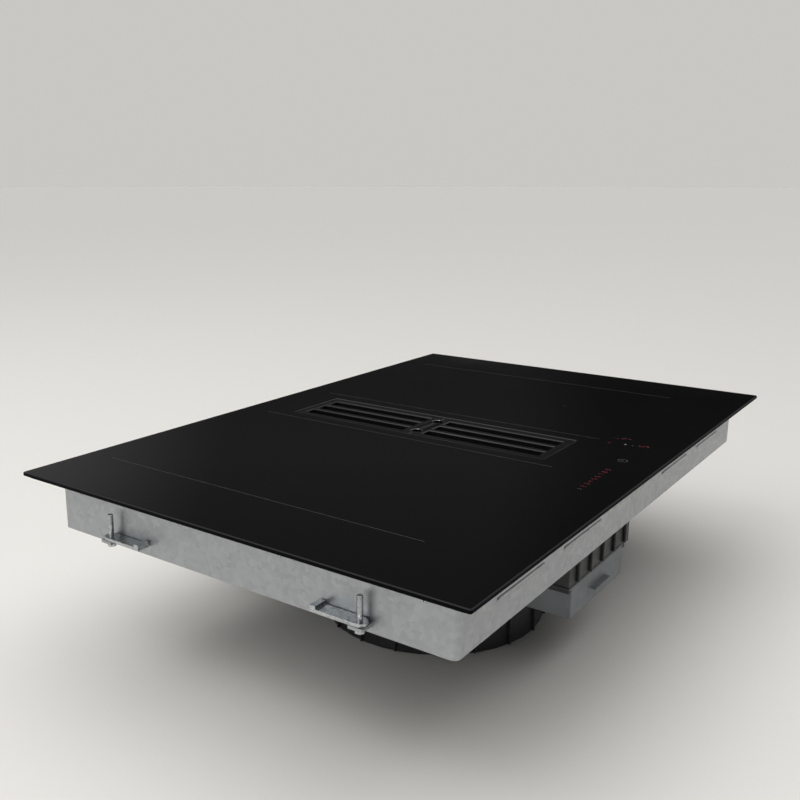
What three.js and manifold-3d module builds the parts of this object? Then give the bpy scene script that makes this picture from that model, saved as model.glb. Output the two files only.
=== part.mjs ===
// Downdraft induction cooktop: a black glass plate over four induction coils, with an air
// intake in its middle that leads down to a fan and out through a flat duct at the rear.
// Millimetres. X runs from the user's left to right, Y from front to back and Z up.
// The origin is the middle of the underside, so the fan housing stands on Z = 0.

import * as THREE from 'three';
import { mergeVertices } from 'three/addons/utils/BufferGeometryUtils.js';
import Module from 'manifold-3d';

const wasm = await Module();
wasm.setup();

// ---------------------------------------------------------------- driving dimensions

// Clearances
const seatGap = 0.3; // between pieces that are fastened or laid together
const slideGap = 0.5; // round a piece that lifts or slides out
const turnGap = 0.4; // between a shaft and its bore

// Glass plate
const glassWidth = 800;
const glassDepth = 520;
const glassThick = 4;
const glassCorner = 5;
const glassBevel = 1.2;

// Foam seal that lies on the worktop
const sealWidth = 8;
const sealThick = 2;
const sealInset = 4;

// Air intake cut through the glass, set back from the middle to leave room for the controls
const intakeWidth = 92;
const intakeLength = 346;
const intakeCorner = 3;
const intakeY = 23;

// Collar bonded into the intake
const collarWall = 1.6;
const collarLedge = 4;
const collarLedgeThick = 2;
const collarFlange = 10;
const collarFlangeThick = 2.5;
const collarDrop = 0.3; // how far the collar and the grille lie below the glass

// Lift-off grille, in two halves
const grilleThick = 8;
const grilleEdge = 0.8;
const slotWidth = 17;
const slotPitch = 24.5;
const slotCount = 3;
const slotChamfer = 1;
const outerBorder = 12;
const seamBorder = 15;
const ribDepth = 6;
const ribWidth = 3;
const scoopRadius = 7;

// Intake well under the collar, with a ledge for the grease filters
const gasketWidth = 5;
const gasketThick = 2;
const wellWall = 2;
const wellFlange = 4;
const wellFlangeThick = 2;
const filterLedge = 4;
const filterLedgeThick = 2;
const filterLedgeDrop = 32; // from the collar's underside to the ledge's top

// Grease filter cassettes
const filterClear = 0.8;
const filterThick = 12;
const filterFrame = 6;
const filterLip = 1.5;
const coreInset = 2;
const pleatPitch = 8;
const pleatSheet = 1.6;
const handleLength = 34;
const handleWidth = 8;
const handleThick = 2;
const handleRise = 11;
const strapWidth = 16;

// Steel casing that holds the induction electronics
const panWidth = 744;
const panDepth = 468;
const panHeight = 57.7;
const panSheet = 1.2;
const panCorner = 6;
const panFlange = 6;
const passGap = 1; // round the well where it passes through the casing
const ventLength = 34;
const ventWidth = 5;
const ventPitch = 13;
const ventCount = 9;
const ventFrontInset = 24;
const fanVentCount = 5;
const fanVentLength = 56;

// Induction coils: two bridged pairs
const coilX = 189;
const coilPairY = 29.5;
const coilPitch = 192;
const coilWidth = 216;
const coilDepth = 180;
const coilCorner = 80;
const coilEyeWidth = 84;
const coilEyeDepth = 48;
const windingThick = 4;
const carrierMargin = 4;
const carrierThick = 3;
const ferriteLength = 52;
const ferriteWidth = 12;
const ferriteThick = 4;
const ferriteReach = 58; // from the coil's centre to the middle of each bar
const ferriteCount = 8;
const micaThick = 1;
const micaMargin = 6;
const sensorRadius = 6;

// Aluminium decks that carry the coils
const deckInner = 50;
const deckOuter = 364;
const deckFront = -172;
const deckBack = 226;
const deckSheet = 1.5;
const deckLeg = 12;

// Power boards, heat sinks and their cooling fans
const boardX = 212;
const boardY = 92;
const boardWidth = 270;
const boardDepth = 150;
const boardThick = 1.6;
const boardRise = 6;
const standInset = 8;
const standRadius = 4;
const chokeX = [-95, -55, 55, 95];
const chokeY = 45;
const chokeRadius = 14;
const chokeHeight = 18;
const capWidth = 36;
const capDepth = 16;
const capHeight = 24;
const relayX = 113;
const relayWidth = 28;
const relayDepth = 12;
const relayHeight = 12;
const sinkWidth = 130;
const sinkDepth = 52;
const sinkHeight = 28;
const sinkBase = 4;
const finCount = 11;
const finThick = 1.6;
const coolerY = -95;
const coolerSize = 80;
const coolerHeight = 20;
const coolerBore = 37.5;
const coolerHub = 14;
const coolerFloor = 2;
const coolerArm = 4;
const coolerPin = 2;
const coolerBlades = 7;
const coolerTipGap = 1.5;
const coolerBladeThick = 1.6;
const coolerBladeChord = 17;
const coolerBladeTilt = 0.7; // radians from lying flat across the axis

// Touch control behind the front of the glass
const touchX = -15;
const touchY = -211;
const touchWidth = 250;
const touchDepth = 42;
const touchTray = 8;
const touchWall = 2;
const touchBoardThick = 1.6;
const touchFoot = 6;
const guideThick = 1.5;
const sliderLeft = -113;
const sliderPitch = 8.8;
const sliderCount = 9;
const keyRadius = 8;
const tickWidth = 4;
const guideDepth = 6;
const markX = [60, 78];
const markWidth = 10;
const markDepth = 15;

// Box between the well and the fan
const plenumHeight = 44.6;
const plenumWall = 2.5;
const plenumMargin = 7;
const plenumFront = -215;
const drainRadius = 9;
const drainY = -180;

// Fan housing and its outlet
const housingHeight = 100;
const housingWall = 2.5;
const lidThick = 2.5;
const scrollStart = 103; // inside radius at the tongue
const scrollEnd = 150; // inside radius where the outlet begins
const tongueAngle = Math.PI / 3;
const fanY = 0;
const mouthY = 240;
const ductWidth = 222;
const ductHeight = 89;
const spigotWall = 2;
const spigotLength = 14;
const flangeThick = 3;

// Fan wheel and motor
const bellRadius = 70;
const bellLip = 6;
const wheelRadius = 95;
const wheelBottom = 14;
const wheelHeight = 75;
const wheelPlate = 3;
const wheelRing = 7;
const hubRadius = 52;
const hubRise = 48;
const bladeInner = 76;
const bladeSweep = 0.24; // radians from a blade's root to its tip
const bladeThick = 1.6;
const bladeCount = 24;
const motorRadius = 42;
const motorHeight = 42;
const motorPlate = 3;
const motorPlateRadius = 56;
const motorBossRadius = 17;
const motorBoss = 3;
const shaftSeat = 2; // metal left under the end of the shaft
const cushionHeight = 4.7;
const cushionInner = 40;
const cushionOuter = 54;
const shaftRadius = 3;
const nutRadius = 5.5;
const nutHeight = 5;

// Drip tray under the box
const trayWidth = 140;
const trayDepth = 64;
const trayHeight = 34;
const trayWall = 2;
const trayLip = 4;
const trayGripWidth = 40;
const trayGripReach = 7;
const railThick = 2;

// Mains terminal box
const boxX = 275;
const boxY = 202;
const boxWidth = 120;
const boxDepth = 72;
const boxHeight = 36;
const boxWall = 2.5;
const blockWidth = 70;
const blockDepth = 22;
const blockHeight = 18;
const poleCount = 5;
const poleRadius = 3;
const poleDepth = 6;
const glandRadius = 12.5;
const glandNeck = 9.5;
const glandBore = 6.5;
const glandLength = 15;
const glandHex = 9;
const glandDome = 10.5;
const glandInside = 6;

// Clamps that grip the worktop from below
const clampY = 150;
const clampReach = 46;
const clampWidth = 14;
const clampThick = 3;
const clampStand = 8; // from the casing's wall to the screw's axis
const clampRise = 9.7; // from the casing's underside to the arm, for a 40 mm worktop
const clampToe = 6;
const clampToeHeight = 6; // above the arm's underside
const clampLug = 3;
const clampScrewRadius = 2.5;
const clampScrewTop = 25;
const clampHeadRadius = 4.5;
const clampHead = 4;

// Wires
const wireRadius = 2.2;
const wireSides = 6;
const wireHoleRadius = 6.6;
const wireFromBoardEdge = 18; // how far in from a board's inner edge the loom runs
const wireCross = 40; // in front of the well, where the loom crosses from side to side

// ---------------------------------------------------------------- levels and places

const lidBottom = housingHeight + seatGap;
const lidTop = lidBottom + lidThick;
const plenumBottom = lidTop + seatGap;
const plenumTop = plenumBottom + plenumHeight;
const panBottom = plenumTop + seatGap;
const panFloor = panBottom + panSheet;
const panTop = panBottom + panHeight;
const glassUnder = panTop + seatGap;
const glassTop = glassUnder + glassThick;

const collarTop = glassTop - collarDrop;
const collarWidth = intakeWidth - 2 * slideGap;
const collarLength = intakeLength - 2 * slideGap;
const pocketWidth = collarWidth - 2 * collarWall;
const pocketLength = collarLength - 2 * collarWall;
const throatWidth = pocketWidth - 2 * collarLedge;
const throatLength = pocketLength - 2 * collarLedge;
const collarSeat = collarTop - grilleThick - seatGap;
const collarBottom = collarSeat - collarLedgeThick;

const grilleWidth = pocketWidth - 2 * slideGap;
const grilleLength = (pocketLength - 3 * slideGap) / 2;
const grilleFrontY = intakeY - (grilleLength + slideGap) / 2;
const grilleRearY = intakeY + (grilleLength + slideGap) / 2;

const gasketTop = collarBottom - seatGap;
const wellTop = gasketTop - gasketThick - seatGap;
const wellWidth = throatWidth + 2 * wellWall;
const wellLength = throatLength + 2 * wellWall;
const filterSeat = collarBottom - filterLedgeDrop;
const filterBottom = filterSeat + seatGap;
const filterWidth = throatWidth - 2 * filterClear;
const filterLength = (throatLength - 3 * filterClear) / 2;
const filterFrontY = intakeY - (filterLength + filterClear) / 2;
const filterRearY = intakeY + (filterLength + filterClear) / 2;

const micaTop = glassUnder - seatGap;
const windingTop = micaTop - micaThick - seatGap;
const carrierTop = windingTop - windingThick - seatGap;
const deckTop = carrierTop - carrierThick - ferriteThick - seatGap;

const boardBottom = panFloor + boardRise;
const sinkBottom = boardBottom + boardThick + seatGap;
const sinkY = boardY - boardDepth / 4;
const coolerBottom = panFloor + seatGap;

const fanX = ductWidth / 2 - scrollEnd; // the outlet is centred on the plate
const plenumLeft = fanX - bellRadius - plenumMargin;
const plenumRight = wellWidth / 2 + plenumMargin;
const plenumBack = intakeY + wellLength / 2 + plenumMargin;
const plenumX = (plenumLeft + plenumRight) / 2;
const plenumY = (plenumFront + plenumBack) / 2;
const hoodBottom = plenumBottom + plenumWall + seatGap;

const motorBottom = housingWall + seatGap + cushionHeight + seatGap;
const hubTop = wheelBottom + hubRise;
const nutBottom = hubTop + seatGap;
const shaftTop = nutBottom + nutHeight + 1;

const trayTop = plenumBottom - seatGap - railThick;
const trayFront = plenumFront + 2;
const boxTop = panBottom - seatGap;
const boxBottom = boxTop - boxHeight;
const glandZ = boxTop - boxHeight / 2;
const clampX = panWidth / 2 + clampStand;
const clampBottom = panBottom + clampRise;

// ---------------------------------------------------------------- finishes

function finish(color, roughness, metalness = 0) {
  return new THREE.MeshStandardMaterial({ color, roughness, metalness });
}

const blackGlass = finish(0x0b0b0d, 0.08);
const blackCast = finish(0x1d1d1f, 0.5, 0.2);
const blackPlastic = finish(0x1a1a1c, 0.55);
const greyPlastic = finish(0x6f7276, 0.6);
const whitePlastic = finish(0xd8d8d4, 0.5);
const foam = finish(0x17171a, 0.95);
const galvanised = finish(0xa9adb0, 0.42, 0.9);
const aluminium = finish(0xc6c8ca, 0.35, 0.95);
const steel = finish(0x8e9194, 0.35, 0.95);
const copper = finish(0xa85f38, 0.4, 0.9);
const mica = finish(0xc9bea5, 0.7);
const circuitBoard = finish(0x1f5b3a, 0.5);
const rubber = finish(0x141415, 0.9);
const clearPlastic = finish(0xe6d9d6, 0.3);
const wireSheath = finish(0x8d2b22, 0.6);

// ---------------------------------------------------------------- shapes and solids

// A closed three.js geometry as a solid that can be joined and cut
function solidOf(geometry) {
  const bare = geometry.clone();
  bare.deleteAttribute('normal');
  bare.deleteAttribute('uv');
  const merged = mergeVertices(bare, 1e-4);
  return new wasm.Manifold(new wasm.Mesh({
    numProp: 3,
    vertProperties: Float32Array.from(merged.attributes.position.array),
    triVerts: Uint32Array.from(merged.index.array),
  }));
}

function join(...solids) {
  return solids.reduce((whole, next) => whole.add(next));
}

function cut(body, ...tools) {
  return tools.reduce((rest, tool) => rest.subtract(tool), body);
}

function block(x0, x1, y0, y1, z0, z1) {
  const box = new THREE.BoxGeometry(x1 - x0, y1 - y0, z1 - z0);
  return solidOf(box.translate((x0 + x1) / 2, (y0 + y1) / 2, (z0 + z1) / 2));
}

// A box centred on x and y
function bar(width, depth, bottom, top, x = 0, y = 0) {
  return block(x - width / 2, x + width / 2, y - depth / 2, y + depth / 2, bottom, top);
}

// A box centred on x and y whose top is wider than its bottom by `flare` on every side
function flaredBar(width, depth, flare, bottom, top, x = 0, y = 0) {
  const box = new THREE.BoxGeometry(width, depth, top - bottom);
  const place = box.attributes.position;
  for (let i = 0; i < place.count; i += 1) {
    const grow = place.getZ(i) > 0 ? flare : 0;
    place.setX(i, place.getX(i) + Math.sign(place.getX(i)) * grow);
    place.setY(i, place.getY(i) + Math.sign(place.getY(i)) * grow);
  }
  return solidOf(box.translate(x, y, (bottom + top) / 2));
}

function rod(radius, bottom, top, x = 0, y = 0, sides = 24) {
  const cylinder = new THREE.CylinderGeometry(radius, radius, top - bottom, sides);
  return solidOf(cylinder.rotateX(Math.PI / 2).translate(x, y, (bottom + top) / 2));
}

// A rectangle with round corners, centred on x and y
function roundRect(width, depth, corner, x = 0, y = 0) {
  const right = width / 2 - corner;
  const back = depth / 2 - corner;
  const shape = new THREE.Shape();
  shape.absarc(x + right, y + back, corner, 0, Math.PI / 2);
  shape.absarc(x - right, y + back, corner, Math.PI / 2, Math.PI);
  shape.absarc(x - right, y - back, corner, Math.PI, Math.PI * 1.5);
  shape.absarc(x + right, y - back, corner, Math.PI * 1.5, Math.PI * 2);
  return shape;
}

// A flat outline stood up between two levels; each corner's arc has twice `segments` steps
function slab(shape, bottom, top, segments = 2) {
  const plate = new THREE.ExtrudeGeometry(shape, {
    depth: top - bottom,
    bevelEnabled: false,
    curveSegments: segments,
  });
  return solidOf(plate.translate(0, 0, bottom));
}

// The band between two rounded rectangles with one centre
function frameBand(width, depth, corner, band, bottom, top, y = 0) {
  const innerCorner = Math.max(corner - band, 1);
  const outside = slab(roundRect(width, depth, corner, 0, y), bottom, top);
  const inside = roundRect(width - 2 * band, depth - 2 * band, innerCorner, 0, y);
  return cut(outside, slab(inside, bottom - 1, top + 1));
}

// A closed outline of [radius, height] pairs turned round the Z axis
function turned(profile, segments = 32) {
  const points = profile.map(([radius, height]) => new THREE.Vector2(radius, height));
  points.push(points[0].clone());
  return solidOf(new THREE.LatheGeometry(points, segments).rotateX(Math.PI / 2));
}

// A round tube along hand-placed points
function wire(points, radius, steps) {
  const circle = new THREE.Shape();
  circle.absarc(0, 0, radius, 0, Math.PI * 2);
  const places = points.map((point) => new THREE.Vector3(...point));
  const route = new THREE.CatmullRomCurve3(places, false, 'centripetal');
  return solidOf(new THREE.ExtrudeGeometry(circle, {
    extrudePath: route,
    steps,
    curveSegments: wireSides / 2,
  }));
}

// ---------------------------------------------------------------- glass, seal and collar

function glassPlate() {
  const outline = roundRect(glassWidth, glassDepth, glassCorner);
  const plate = new THREE.ExtrudeGeometry(outline, {
    depth: glassThick - 2 * glassBevel,
    bevelThickness: glassBevel,
    bevelSize: glassBevel,
    bevelOffset: -glassBevel,
    bevelSegments: 1,
    curveSegments: 3,
  });
  const intake = roundRect(intakeWidth, intakeLength, intakeCorner, 0, intakeY);
  const body = solidOf(plate.translate(0, 0, glassUnder + glassBevel));
  return cut(body, slab(intake, glassUnder - 1, glassTop + 1));
}

function edgeSeal() {
  const top = glassUnder - seatGap;
  const width = glassWidth - 2 * sealInset;
  const depth = glassDepth - 2 * sealInset;
  return frameBand(width, depth, glassCorner, sealWidth, top - sealThick, top);
}

function intakeCollar() {
  const corner = intakeCorner - slideGap;
  const flangeTop = glassUnder - seatGap;
  const flangeWidth = intakeWidth + 2 * collarFlange;
  const flangeLength = intakeLength + 2 * collarFlange;
  const wallPlan = roundRect(collarWidth, collarLength, corner, 0, intakeY);
  const walls = slab(wallPlan, collarBottom, collarTop);
  const flange = roundRect(flangeWidth, flangeLength, collarFlange, 0, intakeY);
  const pocket = bar(pocketWidth, pocketLength, collarSeat, collarTop + 1, 0, intakeY);
  const throat = bar(throatWidth, throatLength, collarBottom - 1, collarTop, 0, intakeY);
  return cut(join(walls, slab(flange, flangeTop - collarFlangeThick, flangeTop)), pocket, throat);
}

// ---------------------------------------------------------------- grille and filters

// One half of the grille; `seamSide` is 1 where the seam is at its back and -1 at its front
function grilleHalf(seamSide) {
  const bottom = collarTop - grilleThick;
  const slotLength = grilleLength - outerBorder - seamBorder;
  const slotY = seamSide * (outerBorder - seamBorder) / 2;
  const body = bar(grilleWidth, grilleLength, bottom, collarTop - grilleEdge);
  const brow = flaredBar(grilleWidth, grilleLength, -grilleEdge, collarTop - grilleEdge, collarTop);
  let grille = join(body, brow);
  for (let i = 0; i < slotCount; i += 1) {
    const x = (i - (slotCount - 1) / 2) * slotPitch;
    const chamferBottom = collarTop - slotChamfer;
    grille = cut(
      grille,
      bar(slotWidth, slotLength, bottom - 1, collarTop + 1, x, slotY),
      flaredBar(slotWidth, slotLength, slotChamfer, chamferBottom, collarTop, x, slotY),
    );
  }
  // A stiffening rib hangs under each bar between two slots
  const ribLength = slotLength + seamBorder;
  for (let i = 1; i < slotCount; i += 1) {
    const x = (i - slotCount / 2) * slotPitch;
    grille = join(grille, bar(ribWidth, ribLength, bottom - ribDepth, bottom + 1, x, slotY));
  }
  // Half-round finger scoops meet those of the other half at the seam
  const outerSlotX = slotPitch * (slotCount - 1) / 2;
  const seamY = seamSide * grilleLength / 2;
  for (const side of [-1, 1]) {
    grille = cut(grille, rod(scoopRadius, bottom - 1, collarTop + 1, side * outerSlotX, seamY));
  }
  return grille;
}

function filterCassette() {
  const top = filterBottom + filterThick;
  const openWidth = filterWidth - 2 * filterFrame;
  const openLength = filterLength - 2 * filterFrame;
  const ring = cut(
    bar(filterWidth, filterLength, filterBottom, top),
    bar(openWidth, openLength, filterBottom - 1, top + 1),
    bar(openWidth + 2 * coreInset, openLength + 2 * coreInset, filterBottom + filterLip, top - filterLip),
  );
  // A strap across the top carries the bridge that is pinched to lift the cassette
  const strap = bar(openWidth + 2, strapWidth, top - filterLip, top);
  const bridgeTop = top + handleRise;
  const bridge = bar(handleLength, handleWidth, bridgeTop - handleThick, bridgeTop);
  const legX = handleLength / 2 - handleThick / 2;
  const legs = [-legX, legX].map((x) => bar(handleThick, handleWidth, top - 1, bridgeTop - 0.5, x));
  return join(ring, strap, bridge, ...legs);
}

// The pleated mesh held in a cassette's inner groove
function filterCore() {
  const width = filterWidth - 2 * filterFrame + 2 * coreInset - 2 * seatGap;
  const length = filterLength - 2 * filterFrame + 2 * coreInset - 2 * seatGap;
  const low = filterLip + seatGap;
  const high = filterThick - filterLip - seatGap - pleatSheet;
  const pleats = Math.floor(length / pleatPitch);
  const pitch = length / pleats;
  const upper = [];
  const lower = [];
  for (let i = 0; i <= pleats; i += 1) {
    const along = -length / 2 + i * pitch;
    const level = i % 2 === 0 ? low : high;
    lower.push(new THREE.Vector2(along, level));
    upper.unshift(new THREE.Vector2(along, level + pleatSheet));
  }
  const sheet = new THREE.ExtrudeGeometry(new THREE.Shape([...lower, ...upper]), {
    depth: width,
    bevelEnabled: false,
  });
  // The outline lies in Y and Z, and the pleats run across the cassette
  sheet.translate(0, 0, -width / 2).rotateY(Math.PI / 2).rotateX(Math.PI / 2);
  return solidOf(sheet.translate(0, 0, filterBottom));
}

// ---------------------------------------------------------------- well and box below it

function collarGasket() {
  const bottom = gasketTop - gasketThick;
  const width = throatWidth + 2 * gasketWidth;
  const length = throatLength + 2 * gasketWidth;
  const inside = bar(throatWidth, throatLength, bottom - 1, gasketTop + 1);
  return cut(bar(width, length, bottom, gasketTop), inside);
}

function intakeWell() {
  const flangeWidth = wellWidth + 2 * wellFlange;
  const flangeLength = wellLength + 2 * wellFlange;
  const walls = bar(wellWidth, wellLength, panBottom, wellTop);
  const flange = bar(flangeWidth, flangeLength, wellTop - wellFlangeThick, wellTop);
  const passage = bar(throatWidth, throatLength, filterSeat, wellTop + 1);
  const belowLedge = bar(throatWidth, throatLength, panBottom - 1, filterSeat - filterLedgeThick);
  const holeWidth = throatWidth - 2 * filterLedge;
  const holeLength = throatLength - 2 * filterLedge;
  const ledgeHole = bar(holeWidth, holeLength, panBottom, wellTop);
  return cut(join(walls, flange), passage, belowLedge, ledgeHole);
}

function plenumHood() {
  const width = plenumRight - plenumLeft;
  const depth = plenumBack - plenumFront;
  const outside = bar(width, depth, hoodBottom, plenumTop);
  const insideWidth = width - 2 * plenumWall;
  const insideDepth = depth - 2 * plenumWall;
  const inside = bar(insideWidth, insideDepth, hoodBottom - 1, plenumTop - plenumWall);
  const mouthY = intakeY - plenumY;
  const mouth = bar(throatWidth, throatLength, hoodBottom, plenumTop + 1, -plenumX, mouthY);
  return cut(outside, inside, mouth);
}

function plenumFloor() {
  const top = plenumBottom + plenumWall;
  const plate = bar(plenumRight - plenumLeft, plenumBack - plenumFront, plenumBottom, top);
  const inletRadius = bellRadius + housingWall + passGap;
  const inlet = rod(inletRadius, plenumBottom - 1, top + 1, fanX - plenumX, fanY - plenumY);
  const drain = rod(drainRadius, plenumBottom - 1, top + 1, 0, drainY - plenumY);
  // Two rails under the front hold the drip tray by its lips
  const railX = trayWidth / 2 + trayLip + slideGap;
  const railFront = trayFront - plenumY;
  const footTop = trayTop - railThick - seatGap;
  const rails = [-1, 1].map((side) => {
    const web = bar(railThick, trayDepth, footTop - railThick, plenumBottom + 1,
      side * (railX + railThick / 2), railFront + trayDepth / 2);
    const foot = bar(trayLip + railThick, trayDepth, footTop - railThick, footTop,
      side * (railX - trayLip / 2 + railThick / 2), railFront + trayDepth / 2);
    return join(web, foot);
  });
  return join(cut(plate, inlet, drain), ...rails);
}

function dripTray() {
  const bottom = trayTop - trayHeight;
  const middle = trayDepth / 2;
  const outside = bar(trayWidth, trayDepth, bottom, trayTop, 0, middle);
  const lips = bar(trayWidth + 2 * trayLip, trayDepth, trayTop - railThick, trayTop, 0, middle);
  const insideWidth = trayWidth - 2 * trayWall;
  const insideDepth = trayDepth - 2 * trayWall;
  const inside = bar(insideWidth, insideDepth, bottom + trayWall, trayTop + 1, 0, middle);
  const gripX = trayGripWidth / 2;
  const gripTop = (bottom + trayTop) / 2;
  const grip = block(-gripX, gripX, -trayGripReach, trayWall / 2, gripTop - trayWall, gripTop);
  return join(cut(join(outside, lips), inside), grip);
}

// ---------------------------------------------------------------- casing, decks and coils

function casingPan() {
  const flangeWidth = panWidth + 2 * panFlange;
  const flangeDepth = panDepth + 2 * panFlange;
  const shell = slab(roundRect(panWidth, panDepth, panCorner), panBottom, panTop);
  const flangePlan = roundRect(flangeWidth, flangeDepth, panCorner + panFlange);
  const flange = slab(flangePlan, panTop - panSheet, panTop);
  const inside = roundRect(panWidth - 2 * panSheet, panDepth - 2 * panSheet, panCorner - panSheet);
  const passWidth = wellWidth + 2 * passGap;
  const passLength = wellLength + 2 * passGap;
  const passage = bar(passWidth, passLength, panBottom - 1, panTop, 0, intakeY);
  const wireHole = rod(wireHoleRadius, panBottom - 1, panTop, boxX, boxY);
  let pan = cut(join(shell, flange), slab(inside, panFloor, panTop + 1), passage, wireHole);
  for (const side of [-1, 1]) {
    // Lugs folded out of the side walls carry the clamps
    for (const y of [-clampY, clampY]) {
      const wallX = side * (panWidth - panSheet) / 2;
      const outX = side * (clampX + clampWidth / 2);
      const top = clampBottom - seatGap;
      const bottom = top - clampLug;
      const lug = bar(Math.abs(outX - wallX), clampWidth, bottom, top, (wallX + outX) / 2, y);
      const bore = rod(clampScrewRadius + turnGap, bottom - 1, top + 1, side * clampX, y, 12);
      pan = cut(join(pan, lug), bore);
    }
    // Outlet slots along the front and inlet slots under each cooling fan
    for (let i = 0; i < ventCount; i += 1) {
      const x = side * (boardX - (i - (ventCount - 1) / 2) * ventPitch);
      const y = -panDepth / 2 + ventFrontInset + ventLength / 2;
      pan = cut(pan, bar(ventWidth, ventLength, panBottom - 1, panFloor + 1, x, y));
    }
    for (let i = 0; i < fanVentCount; i += 1) {
      const x = side * boardX + (i - (fanVentCount - 1) / 2) * ventPitch;
      pan = cut(pan, bar(ventWidth, fanVentLength, panBottom - 1, panFloor + 1, x, coolerY));
    }
  }
  return pan;
}

// Deck for one pair of coils, about its own middle, with four legs that stand in the casing
function coilDeck() {
  const width = deckOuter - deckInner;
  const depth = deckBack - deckFront;
  const legX = (width - deckLeg) / 2;
  const legY = (depth - deckLeg) / 2;
  const plate = bar(width, depth, deckTop - deckSheet, deckTop);
  const legs = [[-legX, -legY], [legX, -legY], [-legX, legY], [legX, legY]].map(([x, y]) => (
    bar(deckLeg, deckLeg, panFloor + seatGap, deckTop - deckSheet / 2, x, y)
  ));
  return join(plate, ...legs);
}

function coilWinding() {
  const eyeCorner = coilEyeDepth / 2 - 1;
  const bottom = windingTop - windingThick;
  const outside = slab(roundRect(coilWidth, coilDepth, coilCorner), bottom, windingTop, 4);
  const eye = roundRect(coilEyeWidth, coilEyeDepth, eyeCorner);
  return cut(outside, slab(eye, bottom - 1, windingTop + 1, 3));
}

// A coil's carrier, with the ferrite bars that are moulded into its underside like spokes
function coilCarrier() {
  const width = coilWidth + 2 * carrierMargin;
  const depth = coilDepth + 2 * carrierMargin;
  const outline = roundRect(width, depth, coilCorner + carrierMargin);
  const under = carrierTop - carrierThick;
  let carrier = cut(
    slab(outline, under, carrierTop, 4),
    rod(sensorRadius + seatGap, under - 1, carrierTop + 1, 0, 0, 12),
  );
  for (let i = 0; i < ferriteCount; i += 1) {
    const angle = (i + 0.5) * 2 * Math.PI / ferriteCount;
    const strip = new THREE.BoxGeometry(ferriteLength, ferriteWidth, ferriteThick + 1);
    strip.translate(ferriteReach, 0, under - ferriteThick / 2 + 0.5).rotateZ(angle);
    carrier = join(carrier, solidOf(strip));
  }
  return carrier;
}

// One sheet of mica over each bridged pair, with a hole for each sensor
function micaSheet() {
  const width = coilWidth + 2 * micaMargin;
  const depth = coilPitch + coilDepth + 2 * micaMargin;
  const sheet = slab(roundRect(width, depth, micaMargin), micaTop - micaThick, micaTop);
  const holes = [-coilPitch / 2, coilPitch / 2].map((y) => (
    rod(sensorRadius + seatGap, micaTop - micaThick - 1, micaTop + 1, 0, y, 12)
  ));
  return cut(sheet, ...holes);
}

// A sensor that stands on the deck and meets the glass in the eye of its coil
function temperatureSensor() {
  return rod(sensorRadius, deckTop + seatGap, micaTop, 0, 0, 12);
}

// ---------------------------------------------------------------- electronics

// A power board about its own middle: circuit board, stand-offs, chokes and capacitors
function powerBoard() {
  const top = boardBottom + boardThick;
  const sunk = top - boardThick / 2;
  const standX = boardWidth / 2 - standInset;
  const standY = boardDepth / 2 - standInset;
  let board = bar(boardWidth, boardDepth, boardBottom, top);
  for (const x of [-standX, standX]) {
    for (const y of [-standY, standY]) {
      board = join(board, rod(standRadius, panFloor + seatGap, boardBottom + 1, x, y, 8));
    }
  }
  for (const x of chokeX) {
    board = join(board, rod(chokeRadius, sunk, top + chokeHeight, x, chokeY, 16));
  }
  board = join(board, bar(capWidth, capDepth, sunk, top + capHeight, 0, chokeY));
  for (const x of [-relayX, relayX]) {
    board = join(board, bar(relayWidth, relayDepth, sunk, top + relayHeight, x, sinkY - boardY));
  }
  return board;
}

function heatSink() {
  let sink = bar(sinkWidth, sinkDepth, sinkBottom, sinkBottom + sinkBase);
  const finPitch = (sinkWidth - finThick) / (finCount - 1);
  for (let i = 0; i < finCount; i += 1) {
    const x = -(sinkWidth - finThick) / 2 + i * finPitch;
    sink = join(sink, bar(finThick, sinkDepth, sinkBottom + 1, sinkBottom + sinkHeight, x));
  }
  return sink;
}

function coolerFrame() {
  const top = coolerBottom + coolerHeight;
  const body = cut(
    bar(coolerSize, coolerSize, coolerBottom, top),
    rod(coolerBore, coolerBottom - 1, top + 1, 0, 0, 24),
  );
  const hub = rod(coolerHub, coolerBottom, coolerBottom + coolerFloor, 0, 0, 16);
  const pin = rod(coolerPin, coolerBottom, coolerBottom + coolerHeight / 2, 0, 0, 12);
  const armLength = 2 * coolerBore + 2;
  const arm = bar(armLength, coolerArm, coolerBottom, coolerBottom + coolerFloor);
  const crossArm = bar(coolerArm, armLength, coolerBottom, coolerBottom + coolerFloor);
  return join(body, hub, pin, arm, crossArm);
}

// Hub cap and blades that turn on the frame's pin
function coolerRotor() {
  const bottom = coolerBottom + coolerFloor + turnGap;
  const top = coolerBottom + coolerHeight - 1;
  const boreTop = coolerBottom + coolerHeight / 2 + turnGap;
  const bore = rod(coolerPin + turnGap, bottom - 1, boreTop, 0, 0, 12);
  let rotor = cut(rod(coolerHub, bottom, top, 0, 0, 16), bore);
  const tip = coolerBore - coolerTipGap;
  const span = tip - coolerHub + 1;
  for (let i = 0; i < coolerBlades; i += 1) {
    const blade = new THREE.BoxGeometry(span, coolerBladeThick, coolerBladeChord);
    blade.rotateX(coolerBladeTilt).translate(coolerHub - 1 + span / 2, 0, (bottom + top) / 2);
    rotor = join(rotor, solidOf(blade.rotateZ(i * 2 * Math.PI / coolerBlades)));
  }
  return rotor;
}

function touchTrayShell() {
  const top = glassUnder - seatGap;
  const bottom = top - touchTray;
  const insideWidth = touchWidth - 2 * touchWall;
  const insideDepth = touchDepth - 2 * touchWall;
  const inside = bar(insideWidth, insideDepth, bottom + touchWall, top + 1);
  return cut(bar(touchWidth, touchDepth, bottom, top), inside);
}

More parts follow.
